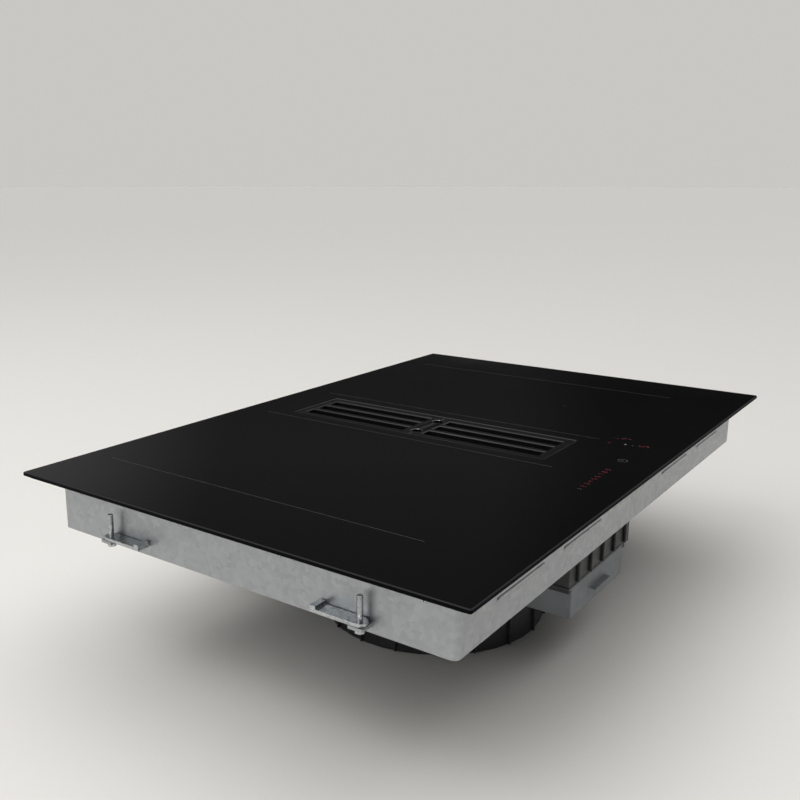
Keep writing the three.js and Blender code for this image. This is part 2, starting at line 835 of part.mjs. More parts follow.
function touchBoard() {
  const bottom = glassUnder - seatGap - touchTray + touchWall + seatGap;
  const width = touchWidth - 2 * touchWall - 2 * seatGap;
  const depth = touchDepth - 2 * touchWall - 2 * seatGap;
  const top = glassUnder - seatGap - guideThick - seatGap;
  const board = bar(width, depth, top - touchBoardThick, top);
  const footTop = top - touchBoardThick / 2;
  const feet = [-width / 3, 0, width / 3].map((x) => (
    bar(touchFoot, touchFoot, bottom, footTop, x, -depth / 4)
  ));
  return join(board, ...feet);
}

// One clear moulding whose pads bring the lit marks up to the underside of the glass
function lightGuides() {
  const top = glassUnder - seatGap;
  const bottom = top - guideThick;
  const stripLeft = sliderLeft - tickWidth;
  const stripWidth = markX[1] - stripLeft;
  const stripX = stripLeft + stripWidth / 2;
  const stripTop = bottom + guideThick / 2;
  let guides = bar(stripWidth, guideDepth, bottom, stripTop, stripX, touchY);
  for (let i = 0; i < sliderCount; i += 1) {
    const x = sliderLeft + i * sliderPitch;
    guides = join(guides, bar(tickWidth, guideDepth, bottom, top, x, touchY));
  }
  guides = join(guides, rod(keyRadius, bottom, top, 0, touchY, 16));
  for (const x of markX) {
    const padY = touchY + (markDepth - guideDepth) / 2;
    guides = join(guides, bar(markWidth, markDepth, bottom, top, x, padY));
  }
  return guides;
}

// ---------------------------------------------------------------- fan

// The spiral of the fan housing, grown outwards for its outer face
function scrollOutline(grow) {
  const steps = 32;
  const points = [];
  for (let i = 0; i <= steps; i += 1) {
    const turn = i / steps;
    const angle = tongueAngle + turn * (2 * Math.PI - tongueAngle);
    const radius = scrollStart + turn * (scrollEnd - scrollStart) + grow;
    points.push(new THREE.Vector2(fanX + radius * Math.cos(angle), fanY + radius * Math.sin(angle)));
  }
  return new THREE.Shape(points);
}

// The outlet's plan: straight on the right, and opening from the tongue on the left
function outletOutline(grow, backY) {
  const tongueX = fanX + scrollStart * Math.cos(tongueAngle);
  const tongueY = fanY + scrollStart * Math.sin(tongueAngle);
  const lean = (tongueX + ductWidth / 2) / (mouthY - tongueY);
  const growX = grow * Math.hypot(1, lean);
  const leftAt = (y) => tongueX - (y - tongueY) * lean - growX;
  const right = ductWidth / 2 + grow;
  return new THREE.Shape([
    new THREE.Vector2(leftAt(fanY), fanY),
    new THREE.Vector2(right, fanY),
    new THREE.Vector2(right, backY),
    new THREE.Vector2(leftAt(backY), backY),
  ]);
}

function housingPlan(grow, bottom, top, backY = mouthY) {
  return join(slab(scrollOutline(grow), bottom, top), slab(outletOutline(grow, backY), bottom, top));
}

function housingLower() {
  const inside = housingPlan(0, housingWall, housingHeight + 1, mouthY + 1);
  return cut(housingPlan(housingWall, 0, housingHeight), inside);
}

function housingLid() {
  const plate = housingPlan(housingWall, lidBottom, lidTop);
  const lip = rod(bellRadius + housingWall, lidBottom, lidTop + bellLip, fanX, fanY, 36);
  return cut(join(plate, lip), rod(bellRadius, lidBottom - 1, lidTop + bellLip + 1, fanX, fanY, 36));
}

// Rear flange with the spigot that the flat duct slides over
function outletFlange() {
  const start = mouthY + seatGap;
  const plateBack = start + flangeThick;
  const end = plateBack + spigotLength;
  const middleZ = (housingWall + housingHeight) / 2;
  const side = ductWidth / 2 + housingWall;
  const inWidth = ductWidth / 2 - spigotWall;
  const inHeight = ductHeight / 2 - spigotWall;
  const plate = block(-side, side, start, plateBack, 0, lidTop);
  const outWidth = ductWidth / 2;
  const outHeight = ductHeight / 2;
  const spigot = block(-outWidth, outWidth, plateBack - 1, end, middleZ - outHeight, middleZ + outHeight);
  const way = block(-inWidth, inWidth, start - 1, end + 1, middleZ - inHeight, middleZ + inHeight);
  return cut(join(plate, spigot), way);
}

// Fan wheel about its own axis: dished back plate, forward-curved blades and a top ring
function fanWheel() {
  const plateTop = wheelBottom + wheelPlate;
  const wheelTop = wheelBottom + wheelHeight;
  const bore = shaftRadius + seatGap;
  const back = turned([
    [bore, hubTop - wheelPlate],
    [hubRadius - wheelPlate, hubTop - wheelPlate],
    [hubRadius - wheelPlate, wheelBottom],
    [wheelRadius, wheelBottom],
    [wheelRadius, plateTop],
    [hubRadius, plateTop],
    [hubRadius, hubTop],
    [bore, hubTop],
  ], 36);
  const ring = turned([
    [wheelRadius - wheelRing, wheelTop - wheelPlate],
    [wheelRadius, wheelTop - wheelPlate],
    [wheelRadius, wheelTop],
    [wheelRadius - wheelRing, wheelTop],
  ], 36);
  const steps = 3;
  const inner = [];
  const outer = [];
  for (let i = 0; i <= steps; i += 1) {
    const radius = bladeInner + (wheelRadius - 1 - bladeInner) * i / steps;
    const near = bladeSweep * (i / steps) ** 2;
    const far = near + bladeThick / radius;
    inner.push(new THREE.Vector2(radius * Math.cos(near), radius * Math.sin(near)));
    outer.unshift(new THREE.Vector2(radius * Math.cos(far), radius * Math.sin(far)));
  }
  const bladeShape = new THREE.Shape([...inner, ...outer]);
  const bladeHeight = wheelHeight - wheelPlate;
  let wheel = join(back, ring);
  for (let i = 0; i < bladeCount; i += 1) {
    const blade = new THREE.ExtrudeGeometry(bladeShape, { depth: bladeHeight, bevelEnabled: false });
    blade.translate(0, 0, wheelBottom + wheelPlate / 2).rotateZ(i * 2 * Math.PI / bladeCount);
    wheel = join(wheel, solidOf(blade));
  }
  return wheel;
}

function motorHousing() {
  const plateTop = motorBottom + motorPlate;
  const top = plateTop + motorHeight;
  const canTop = top - 2 * motorBoss;
  const plate = rod(motorPlateRadius, motorBottom, plateTop, 0, 0, 20);
  const can = rod(motorRadius, plateTop - 1, canTop, 0, 0, 20);
  const shoulder = new THREE.CylinderGeometry(motorBossRadius, motorRadius, motorBoss, 20);
  shoulder.rotateX(Math.PI / 2).translate(0, 0, canTop + motorBoss / 2);
  const boss = rod(motorBossRadius, canTop + motorBoss - 1, top, 0, 0, 20);
  const bore = rod(shaftRadius + turnGap, motorBottom + shaftSeat, top + 1, 0, 0, 12);
  return cut(join(plate, can, solidOf(shoulder), boss), bore);
}

// Shaft with the nut that holds the wheel on it
function motorShaft() {
  const shaft = rod(shaftRadius, motorBottom + shaftSeat + turnGap, shaftTop, 0, 0, 12);
  return join(shaft, rod(nutRadius, nutBottom, nutBottom + nutHeight, 0, 0, 6));
}

// Rubber ring between the motor and the floor of the housing
function motorCushion() {
  const bottom = housingWall + seatGap;
  const top = motorBottom - seatGap;
  return turned([
    [cushionInner, bottom],
    [cushionOuter, bottom],
    [cushionOuter, top],
    [cushionInner, top],
  ], 24);
}

// ---------------------------------------------------------------- mains connection

function terminalBox() {
  const outside = bar(boxWidth, boxDepth, boxBottom, boxTop, boxX, boxY);
  const insideWidth = boxWidth - 2 * boxWall;
  const insideDepth = boxDepth - 2 * boxWall;
  const inside = bar(insideWidth, insideDepth, boxBottom - 1, boxTop - boxWall, boxX, boxY);
  const entry = rod(glandNeck + seatGap, -boxWall - 1, 1, 0, 0, 16).rotate([90, 0, 0]);
  const wireHole = rod(wireHoleRadius, boxTop - boxWall - 1, boxTop + 1, boxX, boxY, 16);
  return cut(outside, inside, entry.translate([boxX, boxY + boxDepth / 2 - boxWall, glandZ]), wireHole);
}

function terminalCover() {
  return bar(boxWidth, boxDepth, boxBottom - seatGap - boxWall, boxBottom - seatGap, boxX, boxY);
}

// Screw terminals under the roof of the box
function terminalBlock() {
  const top = boxTop - boxWall - seatGap;
  const y = boxY - boxDepth / 4;
  const bottom = top - blockHeight;
  let terminals = bar(blockWidth, blockDepth, bottom, top, boxX, y);
  for (let i = 0; i < poleCount; i += 1) {
    const x = boxX + (i - (poleCount - 1) / 2) * blockWidth / poleCount;
    terminals = cut(terminals, rod(poleRadius, bottom - 1, bottom + poleDepth, x, y, 10));
  }
  return terminals;
}

// Cable gland about its own axis, which leaves the back of the box along Y
function cableGland() {
  const neckEnd = -boxWall - glandInside;
  const neck = rod(glandNeck, neckEnd, 1, 0, 0, 16);
  const body = rod(glandRadius, seatGap, glandHex, 0, 0, 6);
  const dome = rod(glandDome, glandHex - 1, glandLength, 0, 0, 16);
  return cut(join(neck, body, dome), rod(glandBore, neckEnd - 1, glandLength + 1, 0, 0, 16));
}

// ---------------------------------------------------------------- clamps and wires

// A clamp about its screw, stowed along the casing: the screw turns the arm with it
function clamp() {
  const side = clampWidth / 2;
  const arm = join(block(-side, side, 0, clampReach, 0, clampThick), rod(side, 0, clampThick));
  const toe = block(-side, side, clampReach - clampToe, clampReach, 0, clampToeHeight);
  const headTop = -2 * seatGap - clampLug;
  const screw = rod(clampScrewRadius, headTop - 1, clampScrewTop, 0, 0, 12);
  const head = rod(clampHeadRadius, headTop - clampHead, headTop, 0, 0, 6);
  return join(arm, toe, screw, head);
}

// The wires in one loom: from the terminals up into the casing and across to both boards
function wiringHarness() {
  const z = panFloor + seatGap + wireRadius;
  const wireY = boxY - boxDepth / 4 + blockDepth / 2 + seatGap + wireRadius;
  const inner = boardX - boardWidth / 2 + wireFromBoardEdge;
  const boardBack = boardY + boardDepth / 2;
  const boardFront = boardY - boardDepth / 2;
  const frontY = intakeY - wellLength / 2 - wireCross;
  return wire([
    [boxX, wireY, boxTop - boxWall - blockHeight / 2],
    [boxX, wireY, boxTop - boxWall - 5],
    [boxX, boxY, boxTop],
    [boxX, boxY, panFloor + 1],
    [boxX - 7, boxY - 8, z + 1],
    [boxX - 20, boxY - 16, z],
    [boxX - 95, boardBack + 8, z],
    [inner + 10, boardBack - 25, z],
    [inner, boardY, z],
    [inner, boardFront - 20, z],
    [inner - 4, frontY + 30, z],
    [inner - 30, frontY, z],
    [30 - inner, frontY, z],
    [4 - inner, frontY + 30, z],
    [-inner, boardFront - 20, z],
    [-inner, boardFront + 30, z],
  ], wireRadius, 46);
}

// ---------------------------------------------------------------- assembly

const cooktop = new THREE.Group();

function place(name, solid, material, x = 0, y = 0, z = 0, turn = 0, parent = cooktop) {
  const { vertProperties, triVerts } = solid.getMesh();
  const geometry = new THREE.BufferGeometry();
  geometry.setAttribute('position', new THREE.BufferAttribute(vertProperties, 3));
  geometry.setIndex(new THREE.BufferAttribute(triVerts, 1));
  geometry.computeVertexNormals();
  const mesh = new THREE.Mesh(geometry, material);
  mesh.name = name;
  mesh.position.set(x, y, z);
  mesh.rotation.z = turn;
  parent.add(mesh);
  return mesh;
}

place('glass_plate', glassPlate(), blackGlass);
place('edge_seal', edgeSeal(), foam);
place('intake_collar', intakeCollar(), blackCast);
place('grille_front', grilleHalf(1), blackCast, 0, grilleFrontY);
place('grille_rear', grilleHalf(-1), blackCast, 0, grilleRearY);
place('filter_frame_front', filterCassette(), steel, 0, filterFrontY);
place('filter_frame_rear', filterCassette(), steel, 0, filterRearY);
place('filter_core_front', filterCore(), aluminium, 0, filterFrontY);
place('filter_core_rear', filterCore(), aluminium, 0, filterRearY);
place('collar_gasket', collarGasket(), foam, 0, intakeY);
place('intake_well', intakeWell(), blackPlastic, 0, intakeY);
place('plenum_hood', plenumHood(), blackPlastic, plenumX, plenumY);
place('plenum_floor', plenumFloor(), blackPlastic, plenumX, plenumY);
place('drip_tray', dripTray(), greyPlastic, plenumX, trayFront);
place('casing_pan', casingPan(), galvanised);

for (const [sideName, side] of [['left', -1], ['right', 1]]) {
  const bay = new THREE.Group();
  bay.position.x = side * boardX;
  cooktop.add(bay);
  place(`power_board_${sideName}`, powerBoard(), circuitBoard, 0, boardY, 0, 0, bay);
  place(`heat_sink_${sideName}`, heatSink(), aluminium, 0, sinkY, 0, 0, bay);
  place(`cooling_fan_frame_${sideName}`, coolerFrame(), blackPlastic, 0, coolerY, 0, 0, bay);
  place(`cooling_fan_rotor_${sideName}`, coolerRotor(), blackPlastic, 0, coolerY, 0, 0, bay);

  const pair = new THREE.Group();
  pair.position.set(side * coilX, coilPairY, 0);
  cooktop.add(pair);
  place(`mica_sheet_${sideName}`, micaSheet(), mica, 0, 0, 0, 0, pair);
  for (const [rowName, row] of [['front', -1], ['rear', 1]]) {
    const spot = `${rowName}_${sideName}`;
    const coilY = row * coilPitch / 2;
    place(`coil_winding_${spot}`, coilWinding(), copper, 0, coilY, 0, 0, pair);
    place(`coil_carrier_${spot}`, coilCarrier(), whitePlastic, 0, coilY, 0, 0, pair);
    place(`temperature_sensor_${spot}`, temperatureSensor(), whitePlastic, 0, coilY, 0, 0, pair);
    const stowed = row > 0 ? Math.PI : 0;
    place(`clamp_${spot}`, clamp(), steel, side * clampX, row * clampY, clampBottom, stowed);
  }
  const deckX = side * (deckInner + deckOuter) / 2;
  place(`coil_deck_${sideName}`, coilDeck(), aluminium, deckX, (deckFront + deckBack) / 2);
}

place('touch_tray', touchTrayShell(), blackPlastic, touchX, touchY);
place('touch_board', touchBoard(), circuitBoard, touchX, touchY);
place('light_guides', lightGuides(), clearPlastic);

place('fan_housing_lower', housingLower(), blackPlastic);
place('fan_housing_lid', housingLid(), blackPlastic);
place('outlet_flange', outletFlange(), blackPlastic);
place('fan_wheel', fanWheel(), greyPlastic, fanX, fanY);
place('motor_shaft', motorShaft(), steel, fanX, fanY);
place('motor_housing', motorHousing(), galvanised, fanX, fanY);
place('motor_cushion', motorCushion(), rubber, fanX, fanY);

place('terminal_box', terminalBox(), greyPlastic);
place('terminal_cover', terminalCover(), greyPlastic);
place('terminal_block', terminalBlock(), whitePlastic);
const gland = place('cable_gland', cableGland(), blackPlastic, boxX, boxY + boxDepth / 2, glandZ);
gland.rotation.x = -Math.PI / 2;

place('wiring_harness', wiringHarness(), wireSheath);

export default cooktop;
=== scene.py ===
"""Downdraft induction cooktop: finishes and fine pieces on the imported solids.

Laid out as an add-on and run as a script. Sizes here are millimetres unless a name says metres.
X runs from the user's left to right, Y from front to back and Z up.
"""

import math

import bmesh
import bpy
from mathutils import Matrix, Vector


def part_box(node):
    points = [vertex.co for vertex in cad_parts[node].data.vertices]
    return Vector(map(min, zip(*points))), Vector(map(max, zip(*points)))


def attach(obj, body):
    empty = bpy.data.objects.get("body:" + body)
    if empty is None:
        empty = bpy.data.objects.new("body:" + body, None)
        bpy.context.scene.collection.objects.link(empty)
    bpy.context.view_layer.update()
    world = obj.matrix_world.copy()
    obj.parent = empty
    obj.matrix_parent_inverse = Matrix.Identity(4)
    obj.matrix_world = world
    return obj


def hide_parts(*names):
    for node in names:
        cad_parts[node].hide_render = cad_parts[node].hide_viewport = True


bl_info = {
    "name": "Downdraft induction cooktop",
    "version": (1, 0, 0),
    "blender": (4, 5, 0),
    "location": "View3D > Sidebar > Cooktop",
    "description": "Builds the finishes and fine pieces of a downdraft induction cooktop",
    "category": "Add Mesh",
}

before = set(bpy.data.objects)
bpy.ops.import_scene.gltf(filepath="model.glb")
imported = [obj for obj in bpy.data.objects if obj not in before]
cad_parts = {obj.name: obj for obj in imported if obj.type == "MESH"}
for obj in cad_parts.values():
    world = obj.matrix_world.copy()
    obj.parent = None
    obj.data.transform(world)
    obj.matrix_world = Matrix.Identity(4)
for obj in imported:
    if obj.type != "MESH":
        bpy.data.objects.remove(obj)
bpy.context.view_layer.update()

MM = 0.001
# Names of the sides and rows, with the direction in which each lies
SIDES = {"left": -1, "right": 1}
ROWS = {"front": -1, "rear": 1}


def node_box(name):
    """Lowest and highest corner of a node, in millimetres."""
    low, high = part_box(name)
    return low / MM, high / MM


def corners(low, high, margin):
    """The four spots `margin` inside the corners of a box, seen from above."""
    return [(x, y) for x in (low.x + margin, high.x - margin)
            for y in (low.y + margin, high.y - margin)]


# ------------------------ colours and nodes


def linear(hex_colour):
    """Turns an sRGB hex value into the linear colour that a socket takes."""
    parts = [int(hex_colour[i:i + 2], 16) / 255 for i in (1, 3, 5)]
    return (*[p / 12.92 if p <= 0.04045 else ((p + 0.055) / 1.055) ** 2.4 for p in parts], 1)


def add_node(tree, kind, values=None, **settings):
    """Adds a node. `settings` are its own fields; `values` sets or links its inputs."""
    made = tree.nodes.new(kind)
    for name, value in settings.items():
        setattr(made, name, value)
    for name, value in (values or {}).items():
        if isinstance(value, bpy.types.NodeSocket):
            tree.links.new(value, made.inputs[name])
        else:
            made.inputs[name].default_value = value
    return made


class Finish:
    """A material in the making, with its shader and the place coordinates in metres."""

    def __init__(self, name, colour, roughness, metallic=0.0, **sockets):
        self.material = bpy.data.materials.new(name)
        self.material.use_nodes = True
        self.tree = self.material.node_tree
        self.shader = self.tree.nodes["Principled BSDF"]
        colour = linear(colour) if isinstance(colour, str) else (*colour, 1)
        values = {"Base Color": colour, "Roughness": roughness, "Metallic": metallic, **sockets}
        for socket, value in values.items():
            self.shader.inputs[socket.replace("_", " ")].default_value = value
        self.place = add_node(self.tree, "ShaderNodeTexCoord").outputs["Object"]

    def noise(self, size, detail, scale=None):
        """Cloudy pattern from 0 to 1 with lumps `size` millimetres across, drawn out by `scale`."""
        place = self.place
        if scale:
            values = {"Vector": place, "Scale": scale}
            place = add_node(self.tree, "ShaderNodeMapping", values).outputs["Vector"]
        values = {"Vector": place, "Scale": 1 / (size * MM), "Detail": detail}
        return add_node(self.tree, "ShaderNodeTexNoise", values).outputs["Fac"]

    def cells(self, size, output="Color"):
        """Cell pattern whose cells are about `size` millimetres across."""
        values = {"Vector": self.place, "Scale": 1 / (size * MM)}
        return add_node(self.tree, "ShaderNodeTexVoronoi", values).outputs[output]

    def spread(self, value, low=0, high=1, from_low=0.3, from_high=0.7):
        """Maps a pattern onto the range from `low` to `high`."""
        values = {"Value": value, "From Min": from_low, "From Max": from_high,
                  "To Min": low, "To Max": high}
        return add_node(self.tree, "ShaderNodeMapRange", values).outputs["Result"]

    def tint(self, value, dark, pale):
        """Colours the surface between two tones."""
        values = {"Factor": value, "A": linear(dark), "B": linear(pale)}
        mixed = add_node(self.tree, "ShaderNodeMix", values, data_type="RGBA")
        self.tree.links.new(mixed.outputs["Result"], self.shader.inputs["Base Color"])

    def rough(self, value, low, high):
        """Lets the roughness follow a pattern."""
        self.tree.links.new(self.spread(value, low, high), self.shader.inputs["Roughness"])

    def bump(self, height, depth):
        """Raises the pattern by `depth` millimetres."""
        values = {"Height": height, "Distance": depth * MM, "Strength": 1.0}
        made = add_node(self.tree, "ShaderNodeBump", values)
        self.tree.links.new(made.outputs["Normal"], self.shader.inputs["Normal"])


# ------------------------ finishes


def clouded(name, colour, roughness, metallic=0.0, tint=None, rough=None, bump=None, **sockets):
    """A material whose colour, roughness and height each follow soft clouds of their own.

    `tint`, `rough` and `bump` begin with the clouds' size in millimetres and their detail. Two
    tones, the lowest and highest roughness, or the height in millimetres follow.
    """
    made = Finish(name, colour, roughness, metallic, **sockets)
    if tint:
        made.tint(made.spread(made.noise(*tint[:2])), *tint[2:])
    if rough:
        made.rough(made.noise(*rough[:2]), *rough[2:])
    if bump:
        made.bump(made.noise(*bump[:2]), bump[2])
    return made.material


LIGHTS = {"red_light": ("Red diode light", "#D21E44", 0.19),
          "pink_light": ("Pink diode light", "#E39AA2", 0.2),
          "white_light": ("White diode light", "#F0EDEA", 0.2),
          "dim_light": ("Dim white diode light", "#B9B7B4", 0.16)}


def light_emitting(name, colour, strength):
    # A diode's light behind a mask: even, in a window only a little hazier than the glass
    return clouded(name, "#080808", 0.3, rough=(1.5, 2, 0.26, 0.34),
                   Emission_Color=linear(colour), Emission_Strength=strength)


def moulded_plastic(name, dark, pale, roughness):
    # Injection-moulded plastic: spark-eroded grain and soft clouds where the melt flowed
    return clouded(name, dark, roughness, tint=(35, 3, dark, pale),
                   rough=(9, 4, roughness - 0.07, roughness + 0.07), bump=(0.8, 2, 0.02), IOR=1.5)


def closed_cell_foam():
    # Black polyethylene foam: dead matt, as its cut cells, 1 mm across, trap the light
    made = Finish("Polyethylene foam, closed cell", "#141415", 0.95, Specular_IOR_Level=0.15)
    cells = made.cells(1.2, "Distance")
    # Painted shade: each cell is darker at its sunken middle than at its raised walls
    made.tint(made.spread(cells, 0, 1, 0.0, 0.8), "#0E0E0F", "#202022")
    made.bump(cells, 0.15)
    return made.material


def flaked(name, colour, roughness, metallic, size, tones, gloss, bump=None):
    """A material of flakes `size` millimetres across, each of its own tone and roughness."""
    made = Finish(name, colour, roughness, metallic)
    flakes = add_node(made.tree, "ShaderNodeSeparateColor", {"Color": made.cells(size)}).outputs
    made.tint(flakes["Red"], *tones)
    made.rough(flakes["Green"], *gloss)
    if bump:
        made.bump(made.noise(*bump[:2]), bump[2])
    return made.material


def drawn_metal(name, colour, roughness, pitch, scale, tones, gloss, depth=None):
    """Bare metal with fine lines `pitch` millimetres apart, along the axis that `scale` shrinks."""
    made = Finish(name, colour, roughness, 1.0)
    lines = made.noise(pitch, 2, scale)
    made.tint(made.spread(lines), *tones)
    made.rough(lines, *gloss)
    if depth:
        made.bump(lines, depth)
    return made.material


def bare_aluminium(name, pitch, scale):
    # Rolled or extruded aluminium: pale and soft, with faint lines the way it was drawn
    return drawn_metal(name, "#C3C5C7", 0.34, pitch, scale, ("#B2B4B6", "#CFD1D2"), (0.3, 0.44))


def copper_litz():
    # Enamelled copper litz: warm metal, each turn a rope of strands laid at a slant
    made = Finish("Enamelled copper litz", "#A4603A", 0.38, 0.85)
    # At this scale the bands lie 6.7 mm apart on a flat face
    values = {"Vector": made.place, "Scale": 66.348, "Distortion": 3.0}
    strands = add_node(made.tree, "ShaderNodeTexWave", values,
                       bands_direction="DIAGONAL").outputs["Fac"]
    # Painted shade and highlight: the copper is darker in the grooves between strands and paler on
    # their raised crowns
    made.tint(strands, "#7C4224", "#B9734A")
    made.bump(strands, 0.12)
    return made.material


def epoxy_board():
    # Glass-epoxy board under green lacquer: tracks 2 mm wide show a shade lighter
    made = Finish("Glass-epoxy board, green lacquer", "#16492D", 0.34)
    tracks = add_node(made.tree, "ShaderNodeTexBrick",
                      {"Vector": made.place, "Scale": 1 / (14 * MM), "Mortar Size": 0.06,
                       "Color1": (0, 0, 0, 1), "Color2": (0, 0, 0, 1), "Mortar": (1, 1, 1, 1)})
    made.tint(tracks.outputs["Fac"], "#123F27", "#26683F")
    made.bump(tracks.outputs["Fac"], 0.05)
    return made.material


FINISHES = {}


def finishes():
    """Every finish by its short name, made once."""
    if FINISHES:
        return FINISHES
    look = bpy.context.scene.cooktop_glass
    FINISHES.update(
        # Polished glass-ceramic: deep black and mirror-like, with a breath of haze from wiping
        glass=clouded("Glass-ceramic, black, polished", look.glass_colour, 0.04,
                      rough=(70, 4, 0.02, 0.055), IOR=1.52),
        # The same glass where the wheel has ground it: it scatters light, as a grey line
        edge=clouded("Glass-ceramic, ground edge", "#2E2E30", 0.5, rough=(3, 2, 0.45, 0.55),
                     bump=(0.8, 2, 0.02), IOR=1.52, Specular_IOR_Level=0.01),
        # The side of the plate as it was cut: rougher than the facet, so it stays dark
        cut_side=clouded("Glass-ceramic, cut side", "#08080A", 0.6, rough=(2, 2, 0.52, 0.68),
                         bump=(0.6, 2, 0.02), IOR=1.52, Specular_IOR_Level=0.03),
        # Ceramic ink fired into the glass: flat grey, a little rough
        ink=clouded("Ceramic ink, fired", look.print_colour, 0.45, rough=(2, 2, 0.4, 0.55)),
        **{name: light_emitting(*light) for name, light in LIGHTS.items()},
        # Powder coat on cast aluminium: satin black with a fine orange peel
        coat=clouded("Powder coat, satin black, on cast aluminium",
                     bpy.context.scene.cooktop_grille.coat_colour, 0.12,
                     rough=(6, 3, 0.1, 0.14), bump=(0.5, 2, 0.0012), Specular_IOR_Level=0.3),
        black_plastic=moulded_plastic("Nylon, glass-filled, black", "#232325", "#2D2D30", 0.48),
        rotor_plastic=moulded_plastic("Polypropylene, grey", "#5E6165", "#6D7074", 0.45),
        grey_plastic=moulded_plastic("ABS, grey, grained", "#6A6D71", "#797C80", 0.52),
        white_plastic=moulded_plastic("PBT, white", "#CFCFC9", "#DCDCD6", 0.42),
        yellow_plastic=moulded_plastic("Polyester, cast, yellow", "#B08320", "#BE9230", 0.38),
        foam=closed_cell_foam(),
        # Moulded rubber: near black with a dry bloom
        rubber=clouded("EPDM rubber, moulded", "#131314", 0.8, tint=(12, 3, "#0F0F10", "#1C1C1D"),
                       bump=(0.7, 2, 0.02)),
        # Hot-dip galvanised steel: zinc crystals, each a touch different in grey and gloss
        galvanised=flaked("Galvanised steel sheet, spangled", "#A3A6A8", 0.42, 0.9, 5,
                          ("#9EA1A3", "#A9ACAE"), (0.36, 0.46), (2.5, 4, 0.01)),
        # Bright zinc plate: a bluish metal, clean on screws and clamps
        zinc=clouded("Zinc-plated steel", "#B3B6B8", 0.28, 1.0,
                     tint=(4, 3, "#9FA3A6", "#C2C5C6"), rough=(1.5, 3, 0.24, 0.38)),
        # Stainless steel brushed from front to back. Real scratches lie 0.1 mm apart, and these
        # 0.6 mm, so that they show
        stainless=drawn_metal("Stainless steel, brushed", "#B9BABA", 0.3, 0.6, (1, 0.02, 1),
                              ("#9C9D9E", "#C6C7C7"), (0.24, 0.4), 0.01),
        aluminium=bare_aluminium("Aluminium sheet, mill finish", 0.7, (1, 0.02, 1)),
        extrusion=bare_aluminium("Aluminium extrusion", 0.9, (1, 1, 0.05)),
        copper=copper_litz(),
        # Pressed mica paper: cream brown with glinting flakes
        mica=flaked("Mica sheet, pressed", "#B9A787", 0.5, 0.0, 3, ("#A08D6C", "#CBBB9B"),
                    (0.3, 0.62)),
        board=epoxy_board(),
        # Moulded clear acrylic: water-white, with the light scattered at its frosted pads
        acrylic=clouded("Acrylic, clear, moulded", "#EFEAE8", 0.18, rough=(4, 2, 0.12, 0.28),
                        IOR=1.49, Transmission_Weight=0.9),
        # Silicone-rubber wire covering: brick red and waxy
        sheath=clouded("Silicone rubber, wire covering", "#8A2B21", 0.5,
                       tint=(10, 3, "#7A241B", "#97362A"), bump=(1.2, 2, 0.03)),
    )
    return FINISHES


# Slots of the finishes that have another name than their slot
SLOTS = {"glass": "black_glass", "ink": "black_glass", "coat": "black_cast", "zinc": "steel",
         "stainless": "steel", "extrusion": "aluminium", "board": "circuit_board",
         "acrylic": "clear_plastic", "sheath": "wire_sheath", "rotor_plastic": "grey_plastic",
         "yellow_plastic": "grey_plastic", **dict.fromkeys(LIGHTS, "clear_plastic")}


# ------------------------ meshes


def rounded(width, depth, corner, z, steps, x=0.0, y=0.0):
    """Points of a rounded rectangle at height z, anticlockwise from its right side."""
    corner = max(corner, 0.01)
    right, back = width / 2 - corner, depth / 2 - corner
    centres = ((right, back), (-right, back), (-right, -back), (right, -back))
    points = []
    for quarter, (cx, cy) in enumerate(centres):
        for step in range(steps + 1):
            angle = (quarter + step / steps) * math.pi / 2
            points.append(Vector((x + cx + corner * math.cos(angle),
                                  y + cy + corner * math.sin(angle), z)))
    return points


def circle(radius, z, sides, x=0.0, y=0.0):
    """Points of a circle at height z."""
    return [Vector((x + radius * math.cos(2 * math.pi * i / sides),
                    y + radius * math.sin(2 * math.pi * i / sides), z)) for i in range(sides)]


def loft(shape, loops, closed=False, marks=None, matrix=Matrix()):
    """Skins loops of one length. `closed` joins the last to the first; else both ends are capped.

    `marks` numbers the finish of the skin between each loop and the next, and `matrix` stands the
    result up in its place.
    """
    rows = [[shape.verts.new(matrix @ point) for point in loop] for loop in loops]
    pairs = list(zip(rows, rows[1:])) + ([(rows[-1], rows[0])] if closed else [])
    marks = marks or [0] * len(pairs)
    for (low, high), mark in zip(pairs, marks):
        for i in range(len(low)):
            j = (i + 1) % len(low)
            shape.faces.new((low[i], low[j], high[j], high[i])).material_index = mark
    if not closed:
        shape.faces.new(rows[0][::-1]).material_index = marks[0]
        shape.faces.new(rows[-1]).material_index = marks[-1]


def block(shape, low, high, edge):
    """A box with its edges eased by `edge`, between two corners."""
    size = Vector(high) - Vector(low)
    middle = (Vector(high) + Vector(low)) / 2
    edge = min(edge, size.x / 3, size.y / 3, size.z / 3)
    levels = ((edge, low[2]), (0, low[2] + edge), (0, high[2] - edge), (edge, high[2]))
    loft(shape, [rounded(size.x - 2 * inset, size.y - 2 * inset, max(edge - inset, 0.05) + edge,
                         z, 2, middle.x, middle.y) for inset, z in levels])


def bar_between(shape, start, end, width, low, high):
    """A flat bar along the floor plan from start to end, `width` wide."""
    start, end = Vector(start), Vector(end)
    side = (end - start).normalized().orthogonal() * width / 2
    plan = [start + side, start - side, end - side, end + side]
    loft(shape, [[Vector((*p, z)) for p in plan] for z in (low, high)])


def turned(shape, profile, sides, x, y, foot=0.0, **more):
    """Turns pairs of radius and height above `foot` round the upright line through (x, y)."""
    loft(shape, [circle(radius, foot + z, sides, x, y) for radius, z in profile], **more)


